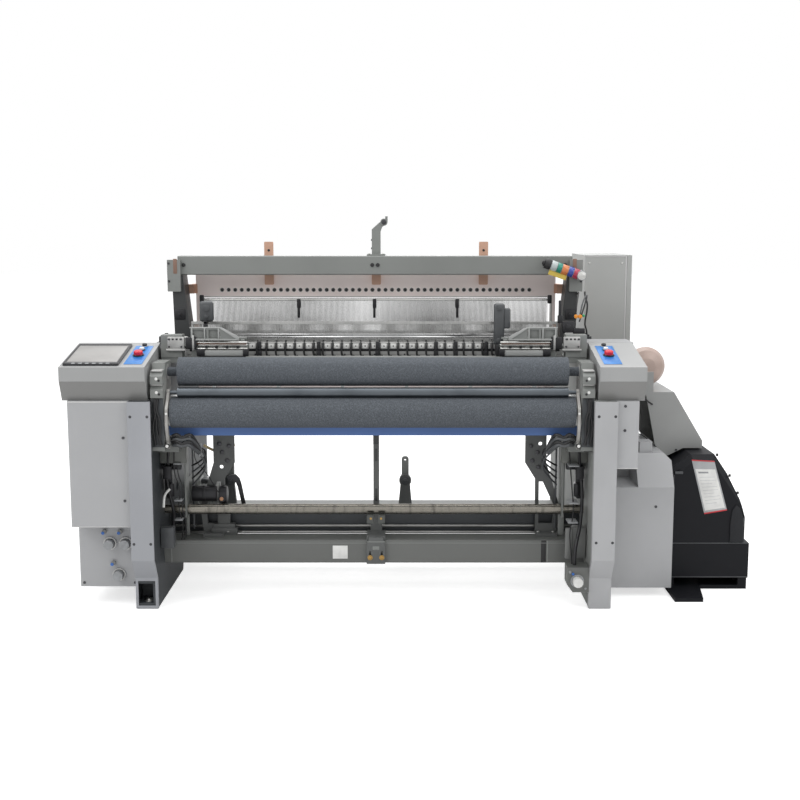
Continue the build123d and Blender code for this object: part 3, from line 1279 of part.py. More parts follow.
# Cabinet door: a folded tray with its knuckles and a recessed handle
with BuildPart() as cabinet_door:
    with BuildSketch(Plane.YZ.offset(cabinet_outer + door_gap)):
        with Locations((setback(cabinet_setback + cabinet_depth / 2), (cabinet_bottom + cabinet_top) / 2)):
            Rectangle(cabinet_depth, cabinet_top - cabinet_bottom)
    extrude(amount=door_thickness)
    offset(amount=-sheet, openings=cabinet_door.faces().sort_by(Axis.X)[0])
    with BuildSketch(Plane.YZ.offset(cabinet_outer + door_gap + door_thickness)):
        with Locations((setback(cabinet_setback + 50), (cabinet_bottom + cabinet_top) / 2)):
            RectangleRounded(34, 130, 8)
            RectangleRounded(22, 90, 5, mode=Mode.SUBTRACT)
    extrude(amount=6)
    for place in hinge_places:
        with BuildSketch(Plane.XY.offset(place + running_gap)):
            with Locations((hinge_x, (hinge_y + setback(cabinet_back)) / 2 - 1)):
                Rectangle(6, hinge_y - setback(cabinet_back) + 2)
            with Locations((hinge_x, hinge_y)):
                Circle(hinge_radius)
                Circle(hinge_radius / 2 + shaft_clearance, mode=Mode.SUBTRACT)
        extrude(amount=hinge_length - 2)
write(cabinet_door, "cabinet_door")

# Drive unit: a moulded hood over a lower box, open underneath
hood_outer = motor_outer - 24
with BuildPart() as motor_cover:
    with BuildSketch(Plane.XZ.offset(-setback(motor_setback))):
        with BuildLine():
            Polyline(
                (motor_inner, motor_bottom),
                (motor_inner, 574),
                (1480, 647),
                (1590, 649),
                (1652, 558),
                (1713, 436),
                (hood_outer, 352),
                (hood_outer, motor_step),
                (motor_outer, motor_step),
                (motor_outer, motor_bottom),
                close=True,
            )
        make_face()
    extrude(amount=-motor_depth)
    chamfer(
        motor_cover.faces().sort_by(Axis.Y)[0].edges().filter_by(
            lambda edge: edge.center().Z > 500 and edge.center().X > 1390
        ),
        28,
    )
    with BuildSketch(Plane.XZ.offset(-setback(motor_setback + motor_wall))):
        with BuildLine():
            Polyline(
                (motor_inner + motor_wall, motor_bottom),
                (motor_inner + motor_wall, 560),
                (1485, 608),
                (1570, 608),
                (1636, 540),
                (1697, 430),
                (hood_outer - motor_wall, 350),
                (hood_outer - motor_wall, motor_step - motor_wall),
                (motor_outer - motor_wall, motor_step - motor_wall),
                (motor_outer - motor_wall, motor_bottom),
                close=True,
            )
        make_face()
    extrude(amount=-motor_depth + 2 * motor_wall, mode=Mode.SUBTRACT)
    with BuildSketch(Plane.YZ.offset(motor_inner)):
        with Locations((setback(crank_setback), crank_height)):
            Circle(shaft_hole_radius)
    extrude(amount=2 * motor_wall, mode=Mode.SUBTRACT)
write(motor_cover, "motor_cover")

# Motor base: a floor plate with a toe in front and two side rails up to the cover
base_height = 18.0
with BuildPart() as motor_base:
    with BuildSketch(Plane.XY):
        with BuildLine():
            Polyline(
                (motor_inner, setback(motor_setback + motor_depth)),
                (motor_inner, setback(165)),
                (1508, setback(165)),
                (1540, setback(motor_setback + 20)),
                (motor_outer, setback(motor_setback + 20)),
                (motor_outer, setback(motor_setback + motor_depth)),
                close=True,
            )
        make_face()
    extrude(amount=base_height)
    with BuildSketch(Plane.XY.offset(base_height)):
        for rail_x in (motor_inner + 20, motor_outer - 20):
            with Locations((rail_x, setback(motor_setback + motor_depth / 2))):
                Rectangle(40, motor_depth - 40)
    extrude(amount=motor_bottom - seat_gap - base_height)
write(motor_base, "motor_base")

# Main motor: a finned barrel on feet
motor_start, motor_end = 1462.0, 1660.0
motor_y = setback(crank_setback)
with BuildPart() as main_motor:
    with BuildSketch(Plane.YZ.offset(motor_start)):
        with Locations((motor_y, motor_height)):
            Circle(motor_radius)
            with PolarLocations(motor_radius, 16):
                Rectangle(10, 6)
    extrude(amount=motor_end - motor_start)
    with BuildSketch(Plane.XY.offset(base_height + seat_gap)):
        for foot_x in (motor_start + 30, motor_end - 30):
            with Locations((foot_x, motor_y)):
                Rectangle(36, 190)
    extrude(amount=motor_height - motor_radius - base_height + 12)
    with BuildSketch(Plane.YZ.offset(motor_start)):
        with Locations((motor_y, motor_height)):
            Circle(motor_shaft_radius + shaft_clearance)
    extrude(amount=60, mode=Mode.SUBTRACT)
write(main_motor, "main_motor")


def pulley(x, z, radius, shaft_radius, shaft_start, shaft_end, name):
    """A flanged flat-belt pulley on its shaft."""
    with BuildPart() as wheel:
        with BuildSketch(Plane(origin=(0, motor_y, z), x_dir=(1, 0, 0), z_dir=(0, -1, 0))):
            with BuildLine():
                Polyline(
                    (shaft_start, 0), (shaft_start, shaft_radius), (x, shaft_radius), (x, radius + 5),
                    (x + 4, radius + 5), (x + 4, radius), (x + belt_width, radius),
                    (x + belt_width, radius + 5), (x + belt_width + 4, radius + 5),
                    (x + belt_width + 4, shaft_radius), (shaft_end, shaft_radius), (shaft_end, 0),
                    close=True,
                )
            make_face()
        revolve(axis=Axis((0, motor_y, z), (1, 0, 0)))
    write(wheel, name)


pulley_x = motor_inner + 16
pulley(
    pulley_x, motor_height, motor_pulley_radius, motor_shaft_radius, pulley_x - 6, motor_start + 56,
    "motor_pulley",
)
pulley(
    pulley_x, crank_height, crank_pulley_radius, crank_shaft_radius, frame_inner + 1, pulley_x + 60,
    "crank_pulley",
)

# Held hoses: from the carriers down to the tie beam and the air box, along the right column,
# from the right console to the upper cover, and a thin line to the left pierced plate
carrier_x, hose_radius, line_radius = 930.0, 8.0, 4.0
hose_routes = (
    (hose_radius, ((-carrier_x, 200, carrier_low), (-carrier_x - 12, 215, 560), (-carrier_x + 8, 238, 420),
                   (-carrier_x, tie_setback + 16, tie_top)), (0, 0, -1), (0, 0, -1)),
    (hose_radius, ((carrier_x, 200, carrier_low), (carrier_x + 14, 186, 520), (carrier_x - 4, 140, 330),
                   (carrier_x - 25, 107, 192)), (0, 0, -1), (0, 0, -1)),
    (line_radius, ((1000, 589, girder_bottom - sheet - end_plate_height / 2), (1012, 584, 1340),
                   (1004, 588, 1240),
                   (1018, 612, frame_top + column_foot_height)), (0, 0, -1), (0, 0, -1)),
    (line_radius, ((1160, console_back, 1010), (1205, console_back + 44, 985), (1268, 440, 905),
                   (1316, upper_cover_setback, 868)), (0, 1, 0), (0, 1, 0)),
    (line_radius / 2, ((bearing_thickness - carrier_inner, 318, 716), (-838, 350, 650), (-772, 350, 545),
                       (-722, plate_near, 470)), (1, 0, 0), (0, 1, 0)),
)
with BuildPart() as hoses:
    for radius, places, leaving, arriving in hose_routes:
        with BuildLine() as route:
            Spline(*((x, setback(depth), z) for x, depth, z in places), tangents=(leaving, arriving))
        with BuildSketch(Plane(origin=route.line @ 0, z_dir=route.line % 0)):
            Circle(radius)
        sweep(path=route.line)
write(hoses, "hoses")
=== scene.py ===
import json
import math
import random

import bpy
from bpy.props import FloatProperty, FloatVectorProperty, IntProperty, PointerProperty
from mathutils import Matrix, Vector


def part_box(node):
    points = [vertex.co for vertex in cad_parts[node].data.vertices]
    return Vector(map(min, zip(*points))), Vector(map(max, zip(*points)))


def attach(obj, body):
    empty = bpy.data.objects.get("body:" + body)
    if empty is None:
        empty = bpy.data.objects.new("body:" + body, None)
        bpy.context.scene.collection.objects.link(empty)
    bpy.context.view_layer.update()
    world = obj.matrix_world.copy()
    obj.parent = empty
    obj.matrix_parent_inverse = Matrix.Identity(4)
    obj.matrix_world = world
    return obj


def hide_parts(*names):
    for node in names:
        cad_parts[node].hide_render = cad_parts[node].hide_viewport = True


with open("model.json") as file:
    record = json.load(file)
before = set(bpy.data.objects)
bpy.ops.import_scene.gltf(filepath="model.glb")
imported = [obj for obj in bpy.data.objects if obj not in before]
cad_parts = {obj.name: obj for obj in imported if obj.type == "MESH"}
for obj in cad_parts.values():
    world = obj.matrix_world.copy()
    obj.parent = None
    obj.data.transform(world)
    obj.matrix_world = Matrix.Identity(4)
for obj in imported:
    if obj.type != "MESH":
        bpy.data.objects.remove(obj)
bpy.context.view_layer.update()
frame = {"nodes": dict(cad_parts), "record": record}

bl_info = {
    "name": "Power Loom Finishes",
    "version": (1, 0, 0),
    "blender": (4, 5, 0),
    "location": "View3D > Sidebar > Loom",
    "description": "Finishes, fasteners and fittings of a power loom",
    "category": "Object",
}

MM = 0.001
FRONT = -0.76
PANEL_SLOPE = math.degrees(math.atan2(73.0, 360.0))
PANEL_FOOT = 1101.0

# Places in millimetres: the consoles' buttons along their panels, the heald frames and their rail's plugs
ESTOP, START, STOP, PLATE = 165, 245, 305, 175
SCREEN_X, SCREEN = -1222.5, 170
FIRST_FRAME, FRAME_PITCH, FRAME_MIDDLE = 745, 16, 6
PLUGS, PLUG_PITCH, PLUG_Z = 48, 32, 1397
LAMP_LEAN = math.radians(71)
DRIVE_FRONT = 350

# Light and camera of the stage
FLOOR_GLOW, AMBIENT = 0.62, 0.52
CAMERA_PLACE, CAMERA_TILT = (0.119, -5.860, 1.687), math.radians(81.87)


# Shader nodes


class Value:
    """A number socket; arithmetic on it adds Math nodes."""

    def __init__(self, surface, socket):
        self.surface, self.socket = surface, socket

    def math(self, operation, *others, first=None):
        values = [self if first is None else first, *others]
        made = self.surface.node(
            "ShaderNodeMath", {"operation": operation}, dict(enumerate(values))
        )
        return Value(self.surface, made.outputs[0])

    def __add__(self, other):
        return self.math("ADD", other)

    def __mul__(self, other):
        return self.math("MULTIPLY", other)

    def __rsub__(self, other):
        return self.math("SUBTRACT", self, first=other)

    __radd__ = __add__

    def wave(self, period):
        """A smooth wave from 0 to 1 with this period."""
        return self.math("MULTIPLY", math.tau / period).math("SINE") * 0.5 + 0.5

    def ramp(self, low, high):
        """0 below low and 1 above high, smooth in between."""
        made = self.surface.node(
            "ShaderNodeMapRange",
            {"interpolation_type": "SMOOTHSTEP"},
            {"Value": self, "From Min": low, "From Max": high},
        )
        return Value(self.surface, made.outputs[0])


class Surface:
    """One material: a principled shader and the nodes that feed it."""

    def __init__(self, name, colour, roughness=0.5, metallic=0.0, **fixed):
        self.material = bpy.data.materials.new(name)
        self.material.use_nodes = True
        self.tree = self.material.node_tree
        self.shader = self.tree.nodes["Principled BSDF"]
        self.colour = (*colour, 1.0) if len(colour) == 3 else colour
        self.fill(
            self.shader,
            {"Base Color": self.colour, "Roughness": roughness, "Metallic": metallic}
        )
        self.fill(self.shader, {key.replace("_", " "): value for key, value in fixed.items()})
        self.material.diffuse_color = self.colour
        self.heights = []
        self.place = self.node("ShaderNodeTexCoord").outputs["Object"]

    def fill(self, node, inputs):
        for key, value in inputs.items():
            if isinstance(value, Value):
                value = value.socket
            if isinstance(value, bpy.types.NodeSocket):
                self.tree.links.new(value, node.inputs[key])
            elif value is not None:
                node.inputs[key].default_value = value

    def node(self, kind, settings=None, inputs=None):
        made = self.tree.nodes.new(kind)
        for key, value in (settings or {}).items():
            setattr(made, key, value)
        self.fill(made, inputs or {})
        return made

    def placed(self, scale):
        """Object coordinates, scaled along each axis."""
        return self.node(
            "ShaderNodeMapping",
            {"vector_type": "POINT"},
            {"Vector": self.place, "Scale": scale},
        ).outputs[0]

    def axis(self, index):
        """One of the object coordinates."""
        made = self.node("ShaderNodeSeparateXYZ", None, {"Vector": self.place})
        return Value(self, made.outputs[index])

    def noise(self, scale, detail=3.0, rough=0.5, vector=None):
        made = self.node(
            "ShaderNodeTexNoise",
            None,
            {"Vector": vector or self.place, "Scale": scale, "Detail": detail, "Roughness": rough},
        )
        return Value(self, made.outputs[0])

    def cells(self, scale):
        made = self.node("ShaderNodeTexVoronoi", None, {"Vector": self.place, "Scale": scale})
        return Value(self, made.outputs[0])

    def mix(self, factor, first, second):
        """A colour between two colours."""
        made = self.node(
            "ShaderNodeMix",
            {"data_type": "RGBA"},
            {0: factor, 6: self.rgba(first), 7: self.rgba(second)},
        )
        return made.outputs[2]

    @staticmethod
    def rgba(colour):
        return (*colour, 1.0) if isinstance(colour, tuple) and len(colour) == 3 else colour

    def bump(self, height, depth, strength=0.4):
        """Adds a relief of this depth in metres on top of any earlier one."""
        made = self.node(
            "ShaderNodeBump",
            None,
            {"Height": height, "Distance": depth, "Strength": strength,
             "Normal": self.heights[-1] if self.heights else None},
        )
        self.heights.append(made.outputs[0])
        self.fill(self.shader, {"Normal": made.outputs[0]})

    def colours(self, colour):
        self.fill(self.shader, {"Base Color": colour})

    def roughness(self, value):
        self.fill(self.shader, {"Roughness": value})

    def finished(self, blend, shades, texture, rough=None, depth=None, strength=0.5):
        """Blends two shades of the colour; a texture gives the roughness (spread, base) and relief."""
        first, second = (shade(self.colour, factor) for factor in shades)
        self.colours(self.mix(blend, first, second))
        if rough:
            self.roughness(texture * rough[0] + rough[1])
        if depth:
            self.bump(texture, depth, strength)
        return self.material


def shade(colour, factor):
    """The same colour, lighter or darker."""
    return tuple(min(1.0, channel * factor) for channel in colour[:3])


def painted(name, colour, roughness=0.42, spread=0.06, grain=1400.0, dust=0.5):
    """Sprayed paint: faint clouding, orange peel and a little settled dust low down."""
    s = Surface(name, colour, roughness, Coat_Weight=0.12, Coat_Roughness=0.3)
    cloud = s.noise(2.3, 4.0)
    peel = s.noise(grain, 2.0)
    tone = s.mix(cloud.ramp(0.35, 0.68), shade(colour, 1 - spread), shade(colour, 1 + spread))
    low = (1 - s.axis(2).ramp(0.0, 0.35)) * s.noise(9.0, 5.0).ramp(0.45, 0.75) * dust
    s.colours(s.mix(low * 0.35, tone, shade(colour, 0.72)))
    s.roughness(cloud * 0.12 + (roughness - 0.06))
    s.bump(peel, 0.00006, 0.5)
    return s.material


def cast_paint(name, colour):
    """Paint over a sand casting: a soft pitted relief and a slow clouding of its tone."""
    s = Surface(name, colour, 0.5)
    pits = s.noise(240.0, 5.0)
    s.finished(s.noise(4.0, 4.0).ramp(0.3, 0.7), (0.88, 1.08), pits, (0.2, 0.42), 0.0007, 0.6)
    s.bump(s.noise(24.0, 2.0), 0.002, 0.35)
    return s.material


def metal(name, colour, roughness=0.3, along=0):
    """Ground or drawn metal: fine lines along one axis and slow tarnish."""
    s = Surface(name, colour, roughness, 1.0)
    stretch = tuple(15.0 if axis == along else 900.0 for axis in range(3))
    lines = s.noise(1.0, 3.0, 0.6, s.placed(stretch))
    tarnish = s.noise(7.0, 5.0).ramp(0.4, 0.72)
    return s.finished(tarnish, (1.05, 0.8), lines, (0.22, roughness - 0.1), 0.00004)


def cast_metal(name, colour, roughness=0.45, metallic=0.85):
    """Bare cast alloy: a fine blasted grain."""
    s = Surface(name, colour, roughness, metallic)
    blend = s.noise(12.0, 4.0).ramp(0.35, 0.7)
    return s.finished(blend, (0.85, 1.08), s.noise(700.0, 4.0), (0.25, roughness - 0.12), 0.00018, 0.6)


def plastic(name, colour, roughness=0.35, grain=1100.0):
    """Moulded plastic with a fine spark-eroded grain."""
    s = Surface(name, colour, roughness)
    blend = s.noise(18.0, 3.0).ramp(0.35, 0.7)
    return s.finished(blend, (0.9, 1.06), s.cells(grain), (0.12, roughness - 0.05), 0.00005)


def roller_cover(name, colour):
    """A gripping cover: a tight emery grain with faint seams of its spiral winding."""
    s = Surface(name, colour, 0.82, Specular_IOR_Level=0.3)
    grain = s.noise(900.0, 3.0, 0.7)
    coarse = s.noise(170.0, 4.0, 0.6)
    streak = s.noise(1.0, 3.0, 0.5, s.placed((1.4, 26.0, 26.0)))
    tone = s.mix(grain.ramp(0.4, 0.62), shade(colour, 0.45), shade(colour, 1.6))
    tone = s.mix(streak.ramp(0.4, 0.75) * 0.35, tone, shade(colour, 0.78))
    s.colours(s.mix(coarse.ramp(0.5, 0.62) * 0.55, tone, shade(colour, 1.75)))
    s.roughness(grain * 0.12 + 0.76)
    s.bump(grain, 0.00035, 0.8)
    s.bump(coarse, 0.0003, 0.4)
    return s.material


def anodised(name, colour, roughness=0.38):
    """Anodised aluminium extrusion: faint die lines along its length."""
    s = Surface(name, colour, roughness, 0.35)
    lines = s.noise(1.0, 2.0, 0.5, s.placed((6.0, 500.0, 700.0)))
    return s.finished(lines.ramp(0.3, 0.7), (0.95, 1.05), lines, (0.1, roughness - 0.05), 0.00004, 0.4)


def laminate(name, colour):
    """Phenolic laminate: fine woven layers and a waxy sheen."""
    s = Surface(name, colour, 0.45)
    weave = s.axis(0).wave(0.0011) * s.axis(2).wave(0.0011)
    return s.finished(weave * 0.5 + s.axis(1).wave(0.0009) * 0.2, (0.86, 1.1), weave, None, 0.00008)


def fine_comb(name, colour):
    """Reed dents: bright and dark lines at the pitch of its wires."""
    s = Surface(name, colour, 0.34, 0.9)
    wires = s.axis(0).wave(0.0016)
    return s.finished(wires, (0.55, 1.15), wires, None, 0.0003, 0.6)


def cloth_roller_steel(name, colour):
    """A bright rolled tube, wiped along its length."""
    s = Surface(name, colour, 0.22, 0.95)
    wiped = s.noise(1.0, 4.0, 0.6, s.placed((9.0, 120.0, 120.0)))
    marks = s.noise(1.0, 3.0, 0.6, s.placed((45.0, 12.0, 12.0))).ramp(0.5, 0.72)
    return s.finished(marks, (1.05, 0.62), wiped, (0.3, 0.12), 0.00015)


def motor_shell(name, colour):
    """Glass-filled moulded plastic: satin black with a leathery grain and scuffed dust."""
    s = Surface(name, colour, 0.6, Specular_IOR_Level=0.25)
    dust = s.noise(6.0, 6.0, 0.65).ramp(0.5, 0.78)
    s.finished(dust * 0.3, (0.95, 1.8), dust, (0.2, 0.55))
    s.bump(s.cells(420.0), 0.00022, 0.5)
    return s.material


def lens(name, colour):
    """A ribbed plastic lens: fine rings along its stem and a wet coat."""
    s = Surface(name, colour, 0.22, Coat_Weight=0.6, Coat_Roughness=0.08)
    stem = -math.sin(LAMP_LEAN), math.cos(LAMP_LEAN)
    ribs = (s.axis(0) * round(stem[0], 4) + s.axis(2) * round(stem[1], 4)).wave(0.003)
    return s.finished(ribs * 0.4, (0.8, 1.6), ribs, (0.2, 0.14), 0.0005, 0.6)


def screen_glass(name, colour):
    """A switched-off display under a matt film, faintly smudged."""
    s = Surface(name, colour, 0.4, Coat_Weight=0.3, Coat_Roughness=0.2)
    smudge = s.noise(11.0, 5.0)
    return s.finished(smudge.ramp(0.35, 0.75), (0.95, 1.05), smudge, (0.12, 0.34))


def knurled(name, colour):
    """A moulded knob cap with a fine circular lay."""
    s = Surface(name, colour, 0.4)
    blend = s.noise(60.0, 3.0).ramp(0.35, 0.7)
    return s.finished(blend, (0.88, 1.08), s.cells(900.0), (0.15, 0.32), 0.0001)


# Linear colours of the finishes, as the photograph shows them
COVER = (0.43, 0.435, 0.445)
CASTING = (0.25, 0.262, 0.25)
DARK_GREY = (0.215, 0.225, 0.215)
GIRDER = (0.225, 0.235, 0.225)
CHARCOAL = (0.033, 0.035, 0.036)
BLACK_SHELL = (0.005, 0.0055, 0.008)
CABINET = (0.40, 0.41, 0.40)
ROLLER = (0.09, 0.1, 0.113)
PHENOLIC = (0.66, 0.4, 0.29)

FINISHES = {
    "casting_paint": (cast_paint, CASTING),
    "cover_paint": (painted, COVER),
    "dark_grey_paint": (painted, DARK_GREY, 0.4),
    "girder_paint": (painted, GIRDER, 0.38),
    "charcoal_paint": (painted, CHARCOAL, 0.45),
    "black_paint": (motor_shell, BLACK_SHELL),
    "cabinet_paint": (painted, CABINET, 0.5, 0.04, 900.0),
    "steel": (metal, (0.52, 0.53, 0.53), 0.32),
    "reed_steel": (fine_comb, (0.42, 0.42, 0.41)),
    "roller_cover": (roller_cover, ROLLER),
    "press_steel": (metal, (0.125, 0.14, 0.155), 0.4),
    "blue_paint": (painted, (0.07, 0.15, 0.38), 0.4),
    "cloth_roller_steel": (cloth_roller_steel, (0.25, 0.235, 0.205)),
    "aluminium": (anodised, (0.46, 0.46, 0.45)),
    "warm_aluminium": (cast_metal, (0.42, 0.41, 0.39), 0.48, 0.4),
    # Brighter than the rail's own paint: painted light against the girder's shade over it
    "heald_rail": (painted, (0.95, 0.84, 0.81), 0.36),
    "phenolic": (laminate, PHENOLIC),
    "black_plastic": (plastic, (0.012, 0.012, 0.014)),
    "grey_plastic": (knurled, (0.33, 0.34, 0.35)),
    "screen_plastic": (plastic, (0.03, 0.03, 0.034), 0.3),
    "red_plastic": (plastic, (0.74, 0.02, 0.045), 0.25),
    "white_plastic": (plastic, (0.82, 0.82, 0.8), 0.28),
    "disc_plastic": (plastic, (0.52, 0.4, 0.35), 0.34),
    "lens_plastic": (plastic, (0.36, 0.37, 0.38), 0.25),
    "brass_bolt": (metal, (0.44, 0.28, 0.1), 0.34),
    "zinc_screw": (metal, (0.62, 0.62, 0.6), 0.28, 2),
    "white_screw": (plastic, (0.8, 0.8, 0.78), 0.35),
    "dark_steel": (metal, (0.09, 0.09, 0.095), 0.42),
    "black_oxide": (cast_metal, (0.035, 0.035, 0.038), 0.42, 0.6),
    "plate_blue": (plastic, (0.02, 0.20, 0.58), 0.3),
    "glass_panel": (screen_glass, (0.31, 0.3, 0.29)),
    "bezel_silver": (anodised, (0.5, 0.5, 0.5)),
    "hose_yellow": (plastic, (0.62, 0.5, 0.28), 0.4),
    "hose_black": (plastic, (0.015, 0.015, 0.016), 0.42),
    "fitting_orange": (plastic, (0.82, 0.3, 0.03), 0.35),
    "fitting_green": (plastic, (0.03, 0.32, 0.12), 0.35),
    "paper_white": (plastic, (0.8, 0.8, 0.78), 0.6, 500.0),
    "label_yellow": (plastic, (0.75, 0.55, 0.1), 0.5),
    "pouch_red": (plastic, (0.6, 0.03, 0.04), 0.35),
    "seat_grey": (painted, (0.13, 0.135, 0.125), 0.42),
    # A darker grey for the consoles' tapering fronts: painted shade
    "shaded_paint": (painted, (0.24, 0.24, 0.235), 0.45),
    "rod_steel": (metal, (0.34, 0.34, 0.33), 0.38),
    "copper_hub": (metal, (0.36, 0.2, 0.12), 0.35),
    "tan_bar": (laminate, (0.25, 0.15, 0.11)),
    "light_cast": (cast_metal, (0.5, 0.5, 0.49), 0.4, 0.5),
    # A darker and a lighter copy of the casting paint: painted shade on the left side frame and painted
    # light on the right one; the darker copy also colours the painted shade plates
    "casting_dark": (cast_paint, (0.045, 0.05, 0.055)),
    "casting_light": (cast_paint, (0.27, 0.28, 0.27)),
    "bracket_grey": (cast_paint, (0.115, 0.12, 0.118)),
    "temple_grey": (cast_paint, (0.24, 0.25, 0.24)),
    "temple_rib": (cast_paint, (0.42, 0.43, 0.42)),
    "tie_grey": (painted, (0.14, 0.145, 0.138), 0.4),
    "post_paint": (painted, (0.355, 0.365, 0.39)),
    # A darker copy of the cover paint on the consoles, painted shade on their downward-facing fronts; the
    # upper cover's darker paint is partly its own and partly painted shade
    "console_paint": (painted, (0.375, 0.38, 0.38)),
    "hood_paint": (painted, (0.335, 0.34, 0.335)),
    "lens_red": (lens, (0.42, 0.015, 0.06)),
    "lens_blue": (lens, (0.02, 0.05, 0.35)),
    "lens_amber": (lens, (0.7, 0.2, 0.05)),
    "lens_green": (lens, (0.0, 0.24, 0.17)),
    "lens_clear": (lens, (0.5, 0.55, 0.55)),
    "heald_steel": (metal, (0.6, 0.6, 0.6), 0.25, 2),
    "comb_steel": (metal, (0.5, 0.5, 0.49), 0.28, 2),
    # Lighter copies of the cover, cabinet and tie paints: painted highlights along folds and edges
    "cover_light": (painted, (0.66, 0.66, 0.65), 0.4),
    "cabinet_light": (painted, (0.5, 0.5, 0.5), 0.4),
    "tie_light": (painted, (0.24, 0.25, 0.24), 0.4),
    "charcoal_edge": (painted, (0.07, 0.075, 0.07), 0.45),
    "dark_shell": (plastic, (0.075, 0.08, 0.085), 0.4),
    "grey_shell": (painted, (0.2, 0.205, 0.2), 0.42),
    "fitting_blue": (plastic, (0.05, 0.16, 0.5), 0.3),
    "pouch_clear": (plastic, (0.45, 0.46, 0.47), 0.14, 300.0),
    "pencil_grey": (plastic, (0.55, 0.56, 0.57), 0.6),
    "bulge_grey": (motor_shell, (0.02, 0.021, 0.024)),
}

# The frame's slot listed for each finish of the added pieces, unless a piece names another; dress looks it
# up and uses it no further
SLOTS = {
    "black_paint": "bulge_grey",
    "black_plastic": "bezel_silver black_oxide hose_black",
    "blue_paint": "fitting_blue plate_blue",
    "cabinet_paint": "cabinet_light",
    "cover_paint": "cover_light post_paint shaded_paint",
    "dark_grey_paint": "bracket_grey casting_dark casting_light charcoal_paint dark_grey_paint dark_shell "
                       "seat_grey tie_light",
    "girder_paint": "charcoal_edge",
    "grey_plastic": "fitting_green fitting_orange grey_shell",
    "lens_plastic": "grey_plastic label_yellow lens_amber lens_blue lens_clear lens_green lens_red",
    "phenolic": "tan_bar",
    "reed_steel": "comb_steel",
    "screen_plastic": "glass_panel",
    "steel": "brass_bolt copper_hub dark_steel heald_steel rod_steel zinc_screw",
    "warm_aluminium": "light_cast temple_grey temple_rib",
    "white_plastic": "paper_white white_screw",
}
SLOT_OF = {name: slot for slot, names in SLOTS.items() for name in names.split()}

# Nodes whose finish differs from the one their slot has elsewhere; for the side frames and consoles the
# difference is painted shade and painted light, for the upper cover partly its paint and partly painted
# shade
NODE_FINISHES = {
    "left_side_frame": "casting_dark",
    "right_side_frame": "casting_light",
    "shaft_brackets": "bracket_grey",
    "lever_pedestals": "bracket_grey",
    "tie_beams": "tie_grey",
    "temples": "temple_grey",
    "left_post_cover": "post_paint",
    "left_console": "console_paint",
    "right_console": "console_paint",
    "right_upper_cover": "hood_paint",
    "right_air_box": "tie_grey",
}

made_finishes = {}


def finish(name):
    """The finish with this name, made once."""
    if name not in made_finishes:
        maker, *settings = FINISHES[name]
        made_finishes[name] = maker(name, *settings)
    return made_finishes[name]


# Modelling


def deep(distance):
    """The Y place, in millimetres, at a distance behind the front of the posts."""
    return FRONT / MM + distance


def deselect():
    """Leaves edit mode and selects nothing."""
    if bpy.context.object and bpy.context.object.mode != "OBJECT":
        bpy.ops.object.mode_set(mode="OBJECT")
    bpy.ops.object.select_all(action="DESELECT")


def only(thing):
    """Selects one object and makes it active."""
    deselect()
    thing.select_set(True)
    bpy.context.view_layer.objects.active = thing
    return thing


def settle(thing):
    """Puts an object's place, turn and scale into its mesh."""
    only(thing)
    bpy.ops.object.transform_apply(location=True, rotation=True, scale=True)
    return thing


def block(low, high, bevel=0.0, segments=2):
    """A box between two corners in millimetres, with rounded edges."""
    deselect()
    size = [max(high[i] - low[i], 0.01) * MM for i in range(3)]
    centre = [(high[i] + low[i]) / 2 * MM for i in range(3)]
    bpy.ops.mesh.primitive_cube_add(size=1, location=centre)
    thing = bpy.context.object
    thing.scale = size
    settle(thing)
    if bevel:
        round_edges(thing, bevel, segments)
    return thing


def round_edges(thing, width, segments=2, angle=40):
    """Bevels the edges that are sharper than an angle in degrees."""
    only(thing)
    made = thing.modifiers.new("edge", "BEVEL")
    made.width, made.segments = width * MM, segments
    made.limit_method, made.angle_limit = "ANGLE", math.radians(angle)
    bpy.ops.object.modifier_apply(modifier=made.name)
    return thing


def disc(centre, radius, depth, axis="Z", sides=24, bevel=0.0):
    """A round piece by its centre in millimetres, along an axis."""
    deselect()
    turn = {"X": (0, math.pi / 2, 0), "Y": (math.pi / 2, 0, 0), "Z": (0, 0, 0)}[axis]
    bpy.ops.mesh.primitive_cylinder_add(
        vertices=sides, radius=radius * MM, depth=depth * MM, rotation=turn,
        location=[c * MM for c in centre],
    )
    thing = settle(bpy.context.object)
    if bevel:
        round_edges(thing, bevel, 2, 50)
    return thing


def joined(things, name):
    """Several pieces as one object."""
    deselect()
    for thing in things:
        thing.select_set(True)
    bpy.context.view_layer.objects.active = things[0]
    if len(things) > 1:
        bpy.ops.object.join()
    thing = bpy.context.object
    thing.name = thing.data.name = name
    return thing


def dress(things, name, finish_name, body="frame", slot=None, smooth=True):
    """Joins pieces if they are a list, names them, gives them a finish and lets them ride on a body."""
    thing = joined(things, name) if isinstance(things, list) else things
    settle(thing)
    thing.name = thing.data.name = name
    thing.data.materials.clear()
    thing.data.materials.append(finish(finish_name))
    if smooth:
        bpy.ops.object.shade_smooth_by_angle(angle=math.radians(35))
    slot = slot or SLOT_OF[finish_name]
    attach(thing, body)
    return thing


def copies(pattern, places, name):
    """Copies of one piece at places (x, y, z in mm, turn as radians about X, Y, Z), joined."""
    made = []
    for place in places:
        point, turn = place[:3], place[3:] or (0, 0, 0)
        thing = pattern.copy()
        thing.data = pattern.data.copy()
        bpy.context.scene.collection.objects.link(thing)
        thing.location = [c * MM for c in point]
        thing.rotation_euler = turn
        made.append(thing)
    bpy.data.objects.remove(pattern)
    for thing in made:
        settle(thing)
    return joined(made, name)


